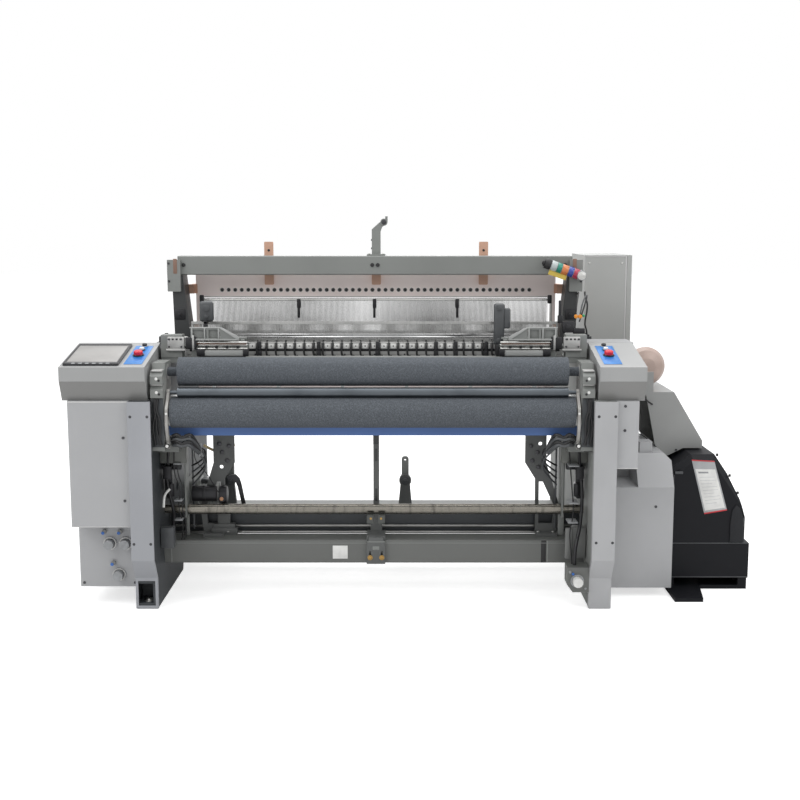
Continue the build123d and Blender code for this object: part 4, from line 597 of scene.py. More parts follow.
def tube_mesh(points, radius, resolution=3):
    """A round tube, smooth through its bends; its points have their distance behind the front as Y."""
    curve = bpy.data.curves.new("tube", "CURVE")
    curve.dimensions, curve.bevel_depth, curve.bevel_resolution = "3D", radius * MM, resolution
    curve.use_fill_caps, curve.resolution_u = True, 8
    spline = curve.splines.new("NURBS")
    spline.points.add(len(points) - 1)
    for control, (x, distance, z) in zip(spline.points, points):
        control.co = (x * MM, deep(distance) * MM, z * MM, 1)
    spline.order_u, spline.use_endpoint_u = 3, True
    thing = bpy.data.objects.new("tube", curve)
    bpy.context.scene.collection.objects.link(thing)
    only(thing)
    bpy.ops.object.convert(target="MESH")
    return bpy.context.object


def tube(points, radius, name, finish_name):
    """A finished hose on the standing frame."""
    return dress(tube_mesh(points, radius), name, finish_name, slot="black_plastic")


def socket_screw(radius, height):
    """A cap screw with a hexagon socket, pointing up, its seat at the origin."""
    deselect()
    bpy.ops.mesh.primitive_cylinder_add(
        vertices=20, radius=radius * MM, depth=height * MM, location=(0, 0, height / 2 * MM)
    )
    thing = settle(bpy.context.object)
    round_edges(thing, radius * 0.14, 1, 50)
    only(thing)
    bpy.ops.object.mode_set(mode="EDIT")
    bpy.ops.mesh.select_all(action="DESELECT")
    bpy.ops.object.mode_set(mode="OBJECT")
    top = max(thing.data.polygons, key=lambda face: (face.normal.z > 0.9) * face.area)
    top.select = True
    bpy.ops.object.mode_set(mode="EDIT")
    bpy.ops.mesh.inset(thickness=radius * 0.4 * MM)
    bpy.ops.transform.translate(value=(0, 0, -height * 0.5 * MM))
    bpy.ops.object.mode_set(mode="OBJECT")
    return thing


FACING_FRONT = (math.pi / 2, 0, 0)
FACING_LEFT = (0, -math.pi / 2, 0)


# Settings


class LoomSizes(bpy.types.PropertyGroup):
    """Sizes of the fittings."""

    cover_screw: FloatProperty(
        name="Cover screw", description="Radius of the cover screws", default=6.5, min=2, max=9
    )
    heald_pitch: FloatProperty(
        name="Heald pitch", description="Distance between healds", default=6.0, min=3, max=40
    )
    dent_pitch: FloatProperty(
        name="Dent pitch", description="Distance between reed dents", default=2.8, min=1, max=8
    )
    lens: FloatProperty(
        name="Lens", description="Focal length of the camera", default=53.55, min=20, max=120
    )
    floor_size: FloatProperty(
        name="Floor size", description="Side of the floor", default=80.0, min=10, max=200,
        subtype="DISTANCE",
    )
    seed: IntProperty(
        name="Seed", description="Seed of the small differences between like pieces", default=7, min=0
    )


class LoomColours(bpy.types.PropertyGroup):
    """Colours of the stage."""

    floor: FloatVectorProperty(
        name="Floor", description="Colour of the floor", default=(0.86, 0.86, 0.86),
        subtype="COLOR", size=3, min=0, max=1,
    )
    sky: FloatVectorProperty(
        name="Sky", description="Colour of the backdrop", default=(1.0, 1.0, 1.0),
        subtype="COLOR", size=3, min=0, max=1,
    )


def sizes():
    """The settings of the fittings and the stage."""
    return bpy.context.scene.loom_sizes


# Operators


class LOOM_OT_stage(bpy.types.Operator):
    """Adds the floor, the soft lamps, the backdrop and the camera"""

    bl_idname = "loom.stage"
    bl_label = "Stage"

    def execute(self, context):
        colours = context.scene.loom_colours
        deselect()
        bpy.ops.object.camera_add(location=CAMERA_PLACE, rotation=(CAMERA_TILT, 0, 0))
        camera = context.object
        camera.data.lens, camera.data.sensor_width = sizes().lens, 36.0
        context.scene.camera = camera
        deselect()
        bpy.ops.mesh.primitive_plane_add(size=sizes().floor_size, location=(0, 0, 0))
        floor = context.object
        floor.name = "floor"
        s = Surface("floor_white", tuple(colours.floor), 0.9)
        seen = s.node("ShaderNodeLightPath")
        glow = s.node("ShaderNodeEmission", None, {"Color": (1, 1, 1, 1), "Strength": FLOOR_GLOW})
        both = s.node("ShaderNodeAddShader", None, {0: s.shader.outputs[0], 1: glow.outputs[0]})
        shown = s.node(
            "ShaderNodeMixShader",
            None,
            {0: seen.outputs["Is Camera Ray"], 1: s.shader.outputs[0], 2: both.outputs[0]},
        )
        s.tree.links.new(shown.outputs[0], s.tree.nodes["Material Output"].inputs["Surface"])
        floor.data.materials.append(s.material)
        for name, place, size, power in (
            ("lamp_left", (-4.6, -3.8, 4.8), 4.0, 140),
            ("lamp_right", (4.8, -3.6, 4.6), 4.0, 95),
            ("lamp_top", (0.0, 0.4, 5.5), 5.0, 190),
            ("lamp_back", (0.0, 5.5, 4.0), 4.0, 60),
        ):
            deselect()
            bpy.ops.object.light_add(type="AREA", location=place)
            lamp = context.object
            lamp.name = name
            lamp.data.energy, lamp.data.size = power, size
            lamp.rotation_euler = (Vector((0, 0, 0.7)) - Vector(place)).to_track_quat("-Z", "Y").to_euler()
        world = bpy.data.worlds.new("studio")
        context.scene.world = world
        world.use_nodes = True
        tree = world.node_tree
        tree.nodes.clear()
        seen = tree.nodes.new("ShaderNodeLightPath")
        direct = tree.nodes.new("ShaderNodeMath")
        through = tree.nodes.new("ShaderNodeMath")
        direct.operation = through.operation = "MAXIMUM"
        ambient = tree.nodes.new("ShaderNodeBackground")
        backdrop = tree.nodes.new("ShaderNodeBackground")
        for light, colour, strength in ((ambient, (1, 1, 1), AMBIENT), (backdrop, colours.sky, 1.0)):
            light.inputs["Color"].default_value = (*colour, 1)
            light.inputs["Strength"].default_value = strength
        both = tree.nodes.new("ShaderNodeMixShader")
        output = tree.nodes.new("ShaderNodeOutputWorld")
        for source, target in (
            (seen.outputs["Is Camera Ray"], direct.inputs[0]),
            (seen.outputs["Is Glossy Ray"], direct.inputs[1]),
            (direct.outputs[0], through.inputs[0]),
            (seen.outputs["Is Transmission Ray"], through.inputs[1]),
            (through.outputs[0], both.inputs[0]),
            (ambient.outputs[0], both.inputs[1]),
            (backdrop.outputs[0], both.inputs[2]),
            (both.outputs[0], output.inputs["Surface"]),
        ):
            tree.links.new(source, target)
        context.scene.view_settings.view_transform = "Standard"
        return {"FINISHED"}


class LOOM_OT_finishes(bpy.types.Operator):
    """Gives every solid of the frame its finish"""

    bl_idname = "loom.finishes"
    bl_label = "Finishes"

    def execute(self, context):
        for part in frame["record"]["subparts"]:
            solid = frame["nodes"][part["node"]]
            made = finish(NODE_FINISHES.get(part["node"], part["material_slot"]))
            if solid.material_slots:
                for place in solid.material_slots:
                    place.material = made
            else:
                solid.data.materials.append(made)
        return {"FINISHED"}


def slab(low, high, bevel=0.0, segments=2):
    """A block whose Y places are distances behind the front of the posts."""
    ends = [(x, deep(distance), z) for x, distance, z in (low, high)]
    return block(*ends, bevel, segments)


def stud(centre, radius, depth, axis="Z", sides=24, bevel=0.0):
    """A disc whose Y place is a distance behind the front of the posts."""
    return disc((centre[0], deep(centre[1]), centre[2]), radius, depth, axis, sides, bevel)


def row(thing, count, step, axis=0):
    """Repeats a piece in a straight row."""
    only(thing)
    made = thing.modifiers.new("row", "ARRAY")
    made.count, made.use_relative_offset, made.use_constant_offset = count, False, True
    made.constant_offset_displace = [step * MM if i == axis else 0.0 for i in range(3)]
    bpy.ops.object.modifier_apply(modifier=made.name)
    return thing


def outline(loops, depth, place, facing="Y", bevel=0.0):
    """A flat piece cut to outlines in millimetres; the first is its edge and the others are holes."""
    curve = bpy.data.curves.new("outline", "CURVE")
    curve.dimensions, curve.fill_mode, curve.extrude = "2D", "BOTH", depth / 2 * MM
    for loop in loops:
        spline = curve.splines.new("POLY")
        spline.points.add(len(loop) - 1)
        for control, (a, b) in zip(spline.points, loop):
            control.co = (a * MM, b * MM, 0, 1)
        spline.use_cyclic_u = True
    thing = bpy.data.objects.new("outline", curve)
    bpy.context.scene.collection.objects.link(thing)
    only(thing)
    bpy.ops.object.convert(target="MESH")
    thing = bpy.context.object
    bpy.ops.object.mode_set(mode="EDIT")
    bpy.ops.mesh.select_all(action="SELECT")
    bpy.ops.mesh.remove_doubles(threshold=0.00001)
    bpy.ops.mesh.normals_make_consistent(inside=False)
    bpy.ops.object.mode_set(mode="OBJECT")
    thing.rotation_euler = {
        "X": (math.pi / 2, 0, math.pi / 2), "Y": (math.pi / 2, 0, 0), "Z": (0, 0, 0)
    }[facing]
    shift = deep(place) if facing == "Y" else place
    thing.location = [shift * MM if facing == axis else 0.0 for axis in "XYZ"]
    settle(thing)
    if bevel:
        round_edges(thing, bevel, 2)
    return thing


def ring(a, b, radius, sides=16):
    """The points of a round outline."""
    return [
        (a + radius * math.cos(math.tau * i / sides), b + radius * math.sin(math.tau * i / sides))
        for i in range(sides)
    ]


def mirrored(things):
    """The same pieces and their copies on the other side of the loom."""
    made = list(things)
    for thing in things:
        other = thing.copy()
        other.data = thing.data.copy()
        bpy.context.scene.collection.objects.link(other)
        other.scale = (-1, 1, 1)
        settle(other)
        bpy.ops.object.mode_set(mode="EDIT")
        bpy.ops.mesh.select_all(action="SELECT")
        bpy.ops.mesh.normals_make_consistent(inside=False)
        bpy.ops.object.mode_set(mode="OBJECT")
        made.append(other)
    return made


class LOOM_OT_reed(bpy.types.Operator):
    """Models the reed: fine dents between two rails with end bars"""

    bl_idname = "loom.reed"
    bl_label = "Reed"

    def execute(self, context):
        low, high = [[c / MM for c in corner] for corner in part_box("reed")]
        pitch = sizes().dent_pitch
        rails = [
            block((low[0], low[1], high[2] - 14), (high[0], high[1], high[2]), 1.5),
            block((low[0], low[1], low[2]), (high[0], high[1], low[2] + 14), 1.5),
            block((low[0], low[1] + 1, low[2]), (low[0] + 10, high[1] - 1, high[2]), 1),
            block((high[0] - 10, low[1] + 1, low[2]), (high[0], high[1] - 1, high[2]), 1)]
        dent = block(
            (low[0] + 12, low[1] + 1.5, low[2] + 12), (low[0] + 12.9, high[1] - 1.5, high[2] - 12))
        dents = row(dent, int((high[0] - low[0] - 24) / pitch), pitch)
        reed = dress([*rails, dents], "reed_comb", "comb_steel", "sley", smooth=False)
        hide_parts("reed")
        channel = outline([
            [
                (deep(478), 1186), (deep(485.5), 1186), (deep(485.5), 1204), (deep(478), 1204),
                (deep(481), 1200), (deep(481), 1190)]], 2 * 855, 0, "X")
        dress(channel, "reed_channel", "heald_steel", "sley", slot="reed_steel", smooth=False)
        return {"FINISHED"}


class LOOM_OT_healds(bpy.types.Operator):
    """Models the healds of the four frames, their carrying rods and the frames' plugs and clips"""

    bl_idname = "loom.healds"
    bl_label = "Healds"

    def execute(self, context):
        pitch = sizes().heald_pitch
        for body, lanes in (("harness_front", (0, 2)), ("harness_rear", (1, 3))):
            pieces = []
            for lane in lanes:
                middle = deep(FIRST_FRAME + FRAME_PITCH * lane + FRAME_MIDDLE)
                shift = random.uniform(0, pitch)
                strip = block((-858 + shift, middle - 0.5, 950), (-856.2 + shift, middle + 0.5, 1356))
                pieces.append(row(strip, int(1705 / pitch), pitch))
                eye = disc((-857.1 + shift, middle, 1150), 2.6, 1.4, "Y", 8)
                pieces.append(row(eye, int(1705 / pitch), pitch))
            dress(pieces, f"{body}_healds", "heald_steel", body, smooth=False)
            rods = []
            for lane in lanes:
                middle = deep(FIRST_FRAME + FRAME_PITCH * lane + FRAME_MIDDLE)
                rods += [block((-863, middle - 3, z), (863, middle + 3, z + 8), 1) for z in (1344, 956)]
            dress(rods, f"{body}_rods", "zinc_screw", body)
        clips = []
        for x in (-378, -6, 400):
            clips += [
                slab((x - 9, 741, 1308), (x + 9, 758, 1352), 2),
                slab((x - 6, 742, 1260), (x + 6, 756, 1324), 2)]
        for x in (-852, 852):
            clips += [
                slab((x - 10, 741, 1330), (x + 10, 758, 1372), 3),
                slab((x - 8, 742, 1180), (x + 8, 746, 1215), 2)]
        dress(clips, "frame_clips", "black_oxide", "harness_front")
        first = -(PLUGS - 1) / 2 * PLUG_PITCH
        plug = stud((first, 748.5, PLUG_Z), 8.6, 5, "Y", 20, 1.2)
        dress(row(plug, PLUGS, PLUG_PITCH), "rail_plugs", "hose_black", "harness_front")
        rim = outline([ring(first, PLUG_Z, 10.6, 20), ring(first, PLUG_Z, 8.8, 20)], 1.2, 744.6)
        rims = row(rim, PLUGS, PLUG_PITCH)
        dress(rims, "rail_plug_rims", "light_cast", "harness_front", slot="heald_rail")
        seams = [slab((x, 744.2, 930), (x + 12, 745.5, 1360), 1) for x in (-864, 852)]
        seams += [
            slab((-864, 744.2, 1361), (864, 745.4, 1366), 0.6),
            slab((-864, 744.2, 1478), (864, 745.4, 1489), 0.6)]
        dress(seams, "rail_edges", "light_cast", "harness_front", slot="heald_rail")
        return {"FINISHED"}


class LOOM_OT_nozzles(bpy.types.Operator):
    """Models the relay nozzles, their hoses, valves and clamps along the sley bar"""

    bl_idname = "loom.nozzles"
    bl_label = "Nozzles"

    def execute(self, context):
        count, pitch, left = 26, 44.0, -550.0
        stub = tube_mesh(
            [(left, 478, 1172), (left, 472, 1169), (left + 1, 464, 1165), (left + 1, 458, 1158)],
            4.2, 2)
        dress(row(stub, count, pitch), "nozzle_stubs", "hose_black", "sley")
        hook = tube_mesh([
            (left + 1, 457, 1164), (left, 451, 1152), (left - 1, 449.5, 1138), (left - 1, 449.5, 1120),
            (left + 1, 450, 1107), (left + 8, 451, 1101), (left + 15, 453, 1104)], 5.0, 2)
        dress(row(hook, count, pitch), "nozzle_hoses", "hose_black", "sley")
        clamp = slab((left - 37, 456, 1137), (left - 8, 460.4, 1160), 1.5)
        dress(row(clamp, count, pitch), "nozzle_clamps", "paper_white", "sley", slot="steel")
        head = stud((left - 22.5, 454.6, 1149), 3.0, 3.4, "Y", 10, 0.6)
        dress(row(head, count, pitch), "nozzle_screws", "dark_steel", "sley")
        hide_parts("sub_nozzles")
        lip = slab((-868, 461, 1160), (868, 480, 1167), 1.5)
        dress(lip, "sley_lip", "light_cast", "sley", slot="aluminium")
        clamps = []
        for x in (-540, -262, 14, 288, 380, 523):
            clamps += [
                slab((x - 11, 447, 1098), (x + 11, 463, 1128), 3),
                slab((x - 9, 446, 1126), (x + 9, 463, 1170), 3), stud((x, 445, 1136), 5, 5, "Y", 12, 1)]
        dress(clamps, "valve_clamps", "black_oxide", "sley")
        bands = [
            slab((-868, 460.4, 1136), (868, 462.6, 1156), 0.8),
            slab((-868, 460.6, 1094), (868, 462.6, 1101), 0.8)]
        dress(bands, "sley_bands", "light_cast", "sley", slot="aluminium")
        groove = slab((-868, 460.8, 1124), (868, 462.6, 1136), 0.5)
        dress(groove, "sley_groove", "black_oxide", "sley", slot="aluminium")
        bolt = stud((-840, 461, 1109), 4.5, 4, "Y", 6, 0.4)
        dress(row(bolt, 13, 140), "sley_bolts", "dark_steel", "sley")
        return {"FINISHED"}


def on_slope(x, along, lift=0.0):
    """A point in millimetres on the consoles' sloping panels."""
    slope = math.radians(PANEL_SLOPE)
    return (
        x,
        deep(0) + along * math.cos(slope) - lift * math.sin(slope),
        PANEL_FOOT + along * math.sin(slope) + lift * math.cos(slope),
    )


def on_panel(thing, x, along, lift=0.0):
    """Lays a piece that was made flat at the origin on a sloping panel."""
    thing.rotation_euler = (math.radians(PANEL_SLOPE), 0, 0)
    thing.location = [c * MM for c in on_slope(x, along, lift)]
    return settle(thing)


class LOOM_OT_consoles(bpy.types.Operator):
    """Models the consoles' plates, screen and collars, their seams drawn lighter as painted highlights,
    and painted shade on their tapering fronts
    """

    bl_idname = "loom.consoles"
    bl_label = "Consoles"

    def execute(self, context):
        for side, x in (("left", -1043), ("right", 1046)):
            holes = [
                ring(0, along - PLATE, radius, 24)
                for along, radius in ((ESTOP, 18), (START, 15), (STOP, 15))]
            edge = [(-40, -135), (40, -135), (40, 135), (-40, 135)]
            plate = on_panel(outline([edge, *holes], 1.2, 0, "Z", 0.3), x, PLATE, 1.2)
            dress(plate, f"{side}_button_plate", "plate_blue")
            for name, along, outer, inner, low, finish_name in (
                ("estop", ESTOP, 25.0, 21.0, 4.6, "hose_black"),
                ("start", START, 15.0, 11.4, 3.6, "hose_black"),
                ("stop", STOP, 15.0, 11.4, 3.6, "bezel_silver"),
            ):
                collar = outline([ring(0, 0, outer, 28), ring(0, 0, inner, 28)], low, 0, "Z", 0.5)
                dress(on_panel(collar, x, along, 1.6 + low / 2), f"{side}_{name}_collar", finish_name)
            skirt = outline([ring(0, 0, 20.0, 32), ring(0, 0, 9.2, 32)], 2.0, 0, "Z", 0.5)
            dress(
                on_panel(skirt, x, ESTOP, 9.8), f"{side}_estop_skirt", "hose_black", f"{side}_estop",
                slot="red_plastic")
        glass = on_panel(block((-111, -122, 0), (111, 122, 1.2), 0.4), SCREEN_X, SCREEN, 7.4)
        dress(glass, "screen_glass", "glass_panel")
        trim = outline([
            [(-118, -147), (118, -147), (118, 147), (-118, 147)],
            [(-113, -142), (113, -142), (113, 142), (-113, 142)]], 1.4, 0, "Z", 0.3)
        dress(on_panel(trim, SCREEN_X, SCREEN, 9.2), "screen_trim", "hose_black", slot="screen_plastic")
        keys = row(block((-8, -6, 0), (8, 6, 1.6), 0.8), 6, 30)
        dress(on_panel(keys, -1297, 26, 9), "screen_keys", "grey_plastic", slot="screen_plastic")
        # Lighter strips along the consoles' lip and fold: the seams there, drawn lighter as painted
        # highlights
        seams = []
        for low, high in ((-1356, -984), (984, 1187)):
            seams += [
                slab((low + 1, 0.2, 1098.5), (high - 1, 3, 1102.2), 1.2),
                slab((low + 1, 0.2, 1040), (high - 1, 2.5, 1042), 0.6)]
        dress(seams, "console_edge_highlights", "cover_light")
        # Darker plates on the consoles' tapering fronts: painted shade
        slope = [(deep(0.8), 1038), (deep(38.3), 953), (deep(40), 953), (deep(2.5), 1038)]
        tapers = [
            outline([slope], high - low - 1, (low + high) / 2, "X")
            for low, high in ((-1356, -984), (984, 1187))]
        dress(tapers, "console_tapers", "shaded_paint")
        dress([
            stud((x, 38, 962), 5, 3, "Y", 16, 0.6)
            for low, high in ((-1340, -1000), (1000, 1170))
            for x in (low + 20, high - 20)], "console_screws", "dark_steel")
        side = []
        for y in (60, 190, 320):
            for z in (985, 1075):
                side += [
                    stud((-1355.4, y, z), 5, 1.0, "X", 16, 0.3),
                    stud((1187.6, y, z), 5, 2.0, "X", 16, 0.5)]
        dress(side, "console_side_screws", "dark_steel")
        return {"FINISHED"}


class LOOM_OT_girder(bpy.types.Operator):
    """Models the girder's bolts, plugs and lower edge, the lamp's label and the guides' fixings"""

    bl_idname = "loom.girder"
    bl_label = "Girder"

    def execute(self, context):
        screws = [(-979, deep(578), 1530), (-979, deep(578), 1446), (979, deep(578), 1446)]
        head = copies(socket_screw(5.5, 4), [(*p, *FACING_FRONT) for p in screws], "end_box_screws")
        dress(head, "end_box_screws", "dark_steel")
        plates = [
            slab((side * 948 - 9, 576.5, 1482), (side * 948 + 9, 578.5, 1552), 1)
            for side in (-1, 1)]
        dress(plates, "end_box_tags", "tan_bar")
        dress(slab((-930, 599, 1475.5), (930, 600.6, 1479.5), 0.5), "girder_edge", "charcoal_edge")
        dress([
            stud((x, 599, 1522), 10.0 if abs(x) < 50 else 9.5, 5, "Y", 20, 1.2)
            for x in (-912, -13, 13, 905)], "girder_plugs", "hose_black")
        holes = []
        for x in (-517, 524):
            holes.append(stud((x, 709.4, 1590), 6, 2, "Y", 16, 0.4))
            for z in (1500, 1540):
                holes.append(stud((x, 721, z), 8, 8, "Y", 6, 0.8))
        dress(holes, "guide_bolts", "hose_black")
        back = []
        for x in range(-860, 861, 172):
            back += [stud((x, 711, 1500), 7, 5, "Y", 6, 0.7), stud((x, 711, 1542), 7, 5, "Y", 6, 0.7)]
        dress(back, "girder_back_bolts", "zinc_screw")
        neck = [
            stud((42, 634.6, 1724), 12, 6, "Y", 20, 1.5), stud((42, 675.4, 1724), 12, 6, "Y", 20, 1.5),
            stud((-18, 655, 1600), 5, 4, "X", 6, 0.5), stud((-18, 655, 1640), 5, 4, "X", 6, 0.5)]
        dress(neck, "neck_bolts", "dark_steel")
        foot = [stud((5 + a, 655 + b, 1575.5), 6, 5, "Z", 6, 0.6) for a in (-34, 34) for b in (-28, 28)]
        dress(foot, "neck_foot_bolts", "zinc_screw")
        column = []
        for side in (-1, 1):
            for a in (896, 1022):
                for b in (616, 704):
                    column.append(stud((side * a, b, 1184.5), 9, 9, "Z", 6, 1))
            column += [
                slab((side * 934 - 26, 596, 1262), (side * 934 + 26, 722, 1312), 4),
                stud((side * 934, 593, 1287), 8, 7, "Y", 6, 1)]
        dress(column, "column_bolts", "black_oxide", slot="steel")
        return {"FINISHED"}


class LOOM_OT_lamp(bpy.types.Operator):
    """Models the lamp tower: its foot, five lenses, cap, label and nut"""

    bl_idname = "loom.lamp"
    bl_label = "Lamp"

    def execute(self, context):
        along = Vector((-math.sin(LAMP_LEAN), 0, math.cos(LAMP_LEAN)))
        pivot = Vector((975, deep(578) - 26.5, 1474))

        def drum(start, length, radius, bevel=1.5):
            thing = disc((0, 0, 0), radius, length, "Z", 40, bevel)
            thing.rotation_euler = (0, -LAMP_LEAN, 0)
            thing.location = (pivot + along * (start + length / 2)) * MM
            return settle(thing)

        foot = [stud((975, 552, 1474), 23, 50, "Y", 40, 3), drum(3, 9, 25.5, 2), drum(11, 3, 22)]
        dress(foot, "lamp_foot", "grey_plastic", "lamp")
        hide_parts("signal_lamp")
        for name, start, length in (
            ("red", 13, 27), ("blue", 41, 25), ("amber", 67, 31), ("green", 99, 23), ("clear", 123, 29)
        ):
            dress(drum(start, length, 24.4, 2.5), f"lamp_{name}", f"lens_{name}", "lamp")
        bands = [drum(start, 1.4, 24.9, 0.4) for start in (12.4, 39.8, 65.8, 97.8, 121.8, 151)]
        dress(bands, "lamp_bands", "grey_plastic", "lamp")
        cap = [drum(152, 30, 24.8, 4), drum(181, 9, 16, 3), drum(189, 6, 9, 2)]
        dress(cap, "lamp_cap", "hose_black", "lamp")
        tag = block((-12, -0.8, -44), (12, 0.8, 44), 0.4)
        tag.rotation_euler = (0, -LAMP_LEAN, 0)
        tag.location = (pivot + along * 108 + Vector((-10, -4, -32))) * MM
        dress(settle(tag), "lamp_label", "label_yellow", "lamp")
        dress([
            disc((975, deep(578) - 54.5, 1474), 15, 3.6, "Y", 6, 1),
            disc((975, deep(578) - 52.6, 1474), 20, 2, "Y", 24, 0.6)], "lamp_nut", "zinc_screw", "lamp")
        return {"FINISHED"}


class LOOM_OT_temples(bpy.types.Operator):
    """Models the temples' ribs, rods, end boxes and the housings beside the reed"""

    bl_idname = "loom.temples"
    bl_label = "Temples"

    def execute(self, context):
        light = [slab((x - 3.5, 287, 1194), (x + 3.5, 298, 1250), 2) for x in (705, 768, 826)]
        light += [
            slab((612, 287, 1190), (836, 296, 1197), 2), slab((690, 287, 1245), (836, 296, 1251), 2),
            outline([[(612, 1197), (620, 1212), (694, 1251), (702, 1247), (626, 1197)]], 8, 291, "Y", 1.5)]
        dress(mirrored(light), "temple_ribs", "temple_rib")
        panes = [
            slab((708, 298.5, 1198), (766, 301, 1244), 0.6),
            slab((771, 298.5, 1198), (823, 301, 1244), 0.6)]
        dress(mirrored(panes), "temple_panes", "temple_grey")
        rods = [
            stud((694, y, z), r, 236, "X", 16, 1)
            for z, r, y in ((1180, 4.5, 300), (1168, 5.5, 306), (1152, 4.5, 300))]
        dress(mirrored(rods), "temple_rods", "zinc_screw")
        dress(mirrored([slab((580, 298, 1171), (812, 306, 1178), 1)]), "temple_bars", "tan_bar")
        dress(mirrored([slab((592, 292, 1120), (776, 300, 1145), 2)]), "temple_plates", "temple_rib")
        dark = [slab((low, 288, 1118), (high, 304, 1150), 3) for low, high in ((570, 596), (770, 806))]
        dark += [stud((x, 294, 1160), 6.5, 8, "Y", 12, 1) for x in (620, 668, 716, 764)]
        dark.append(slab((806, 287, 1150), (856, 300, 1205), 3))
        dress(mirrored(dark), "temple_dark_parts", "black_oxide")
        blocks = [
            slab((862, 286, 1150), (938, 297, 1207), 3), slab((856, 284, 1142), (944, 297, 1152), 2),
            slab((816, 286, 1146), (826, 298, 1214), 2)]
        dress(mirrored(blocks), "temple_boxes", "light_cast")
        slots = [slab((872 + 18 * i, 284.5, 1192), (882 + 18 * i, 287, 1200), 1) for i in range(4)]
        dress(mirrored(slots), "temple_slots", "hose_black")
        dress([
            slab((-808, 395, 1266), (-744, 420, 1362), 12, 3), stud((-776, 392, 1330), 16, 8, "Y", 24, 2),
            stud((-776, 392, 1292), 9, 8, "Y", 20, 2)], "left_housing", "dark_shell", slot="grey_plastic")
        post = [
            slab((-784, 362, 1112), (-768, 382, 1272), 3), slab((-784, 362, 1258), (-768, 420, 1274), 3)]
        dress(post, "left_housing_post", "black_oxide", slot="steel")
        right = [
            slab((552, 380, 1162), (602, 412, 1352), 12, 3),
            slab((598, 384, 1236), (628, 410, 1330), 8, 3), stud((577, 377, 1180), 14, 8, "Y", 24, 2),
            stud((577, 377, 1330), 11, 8, "Y", 24, 2)]
        dress(right, "right_housing", "dark_shell", slot="grey_plastic")
        foot = slab((560, 340, 1112), (594, 410, 1166), 3)
        dress(foot, "right_housing_foot", "black_oxide", slot="steel")
        nuts = [
            stud((x, 283.5, z), 5, 4, "Y", 6, 0.5)
            for x in (-930, -874, 874, 930)
            for z in (1162, 1196)]
        dress(nuts, "temple_nuts", "dark_steel")
        return {"FINISHED"}


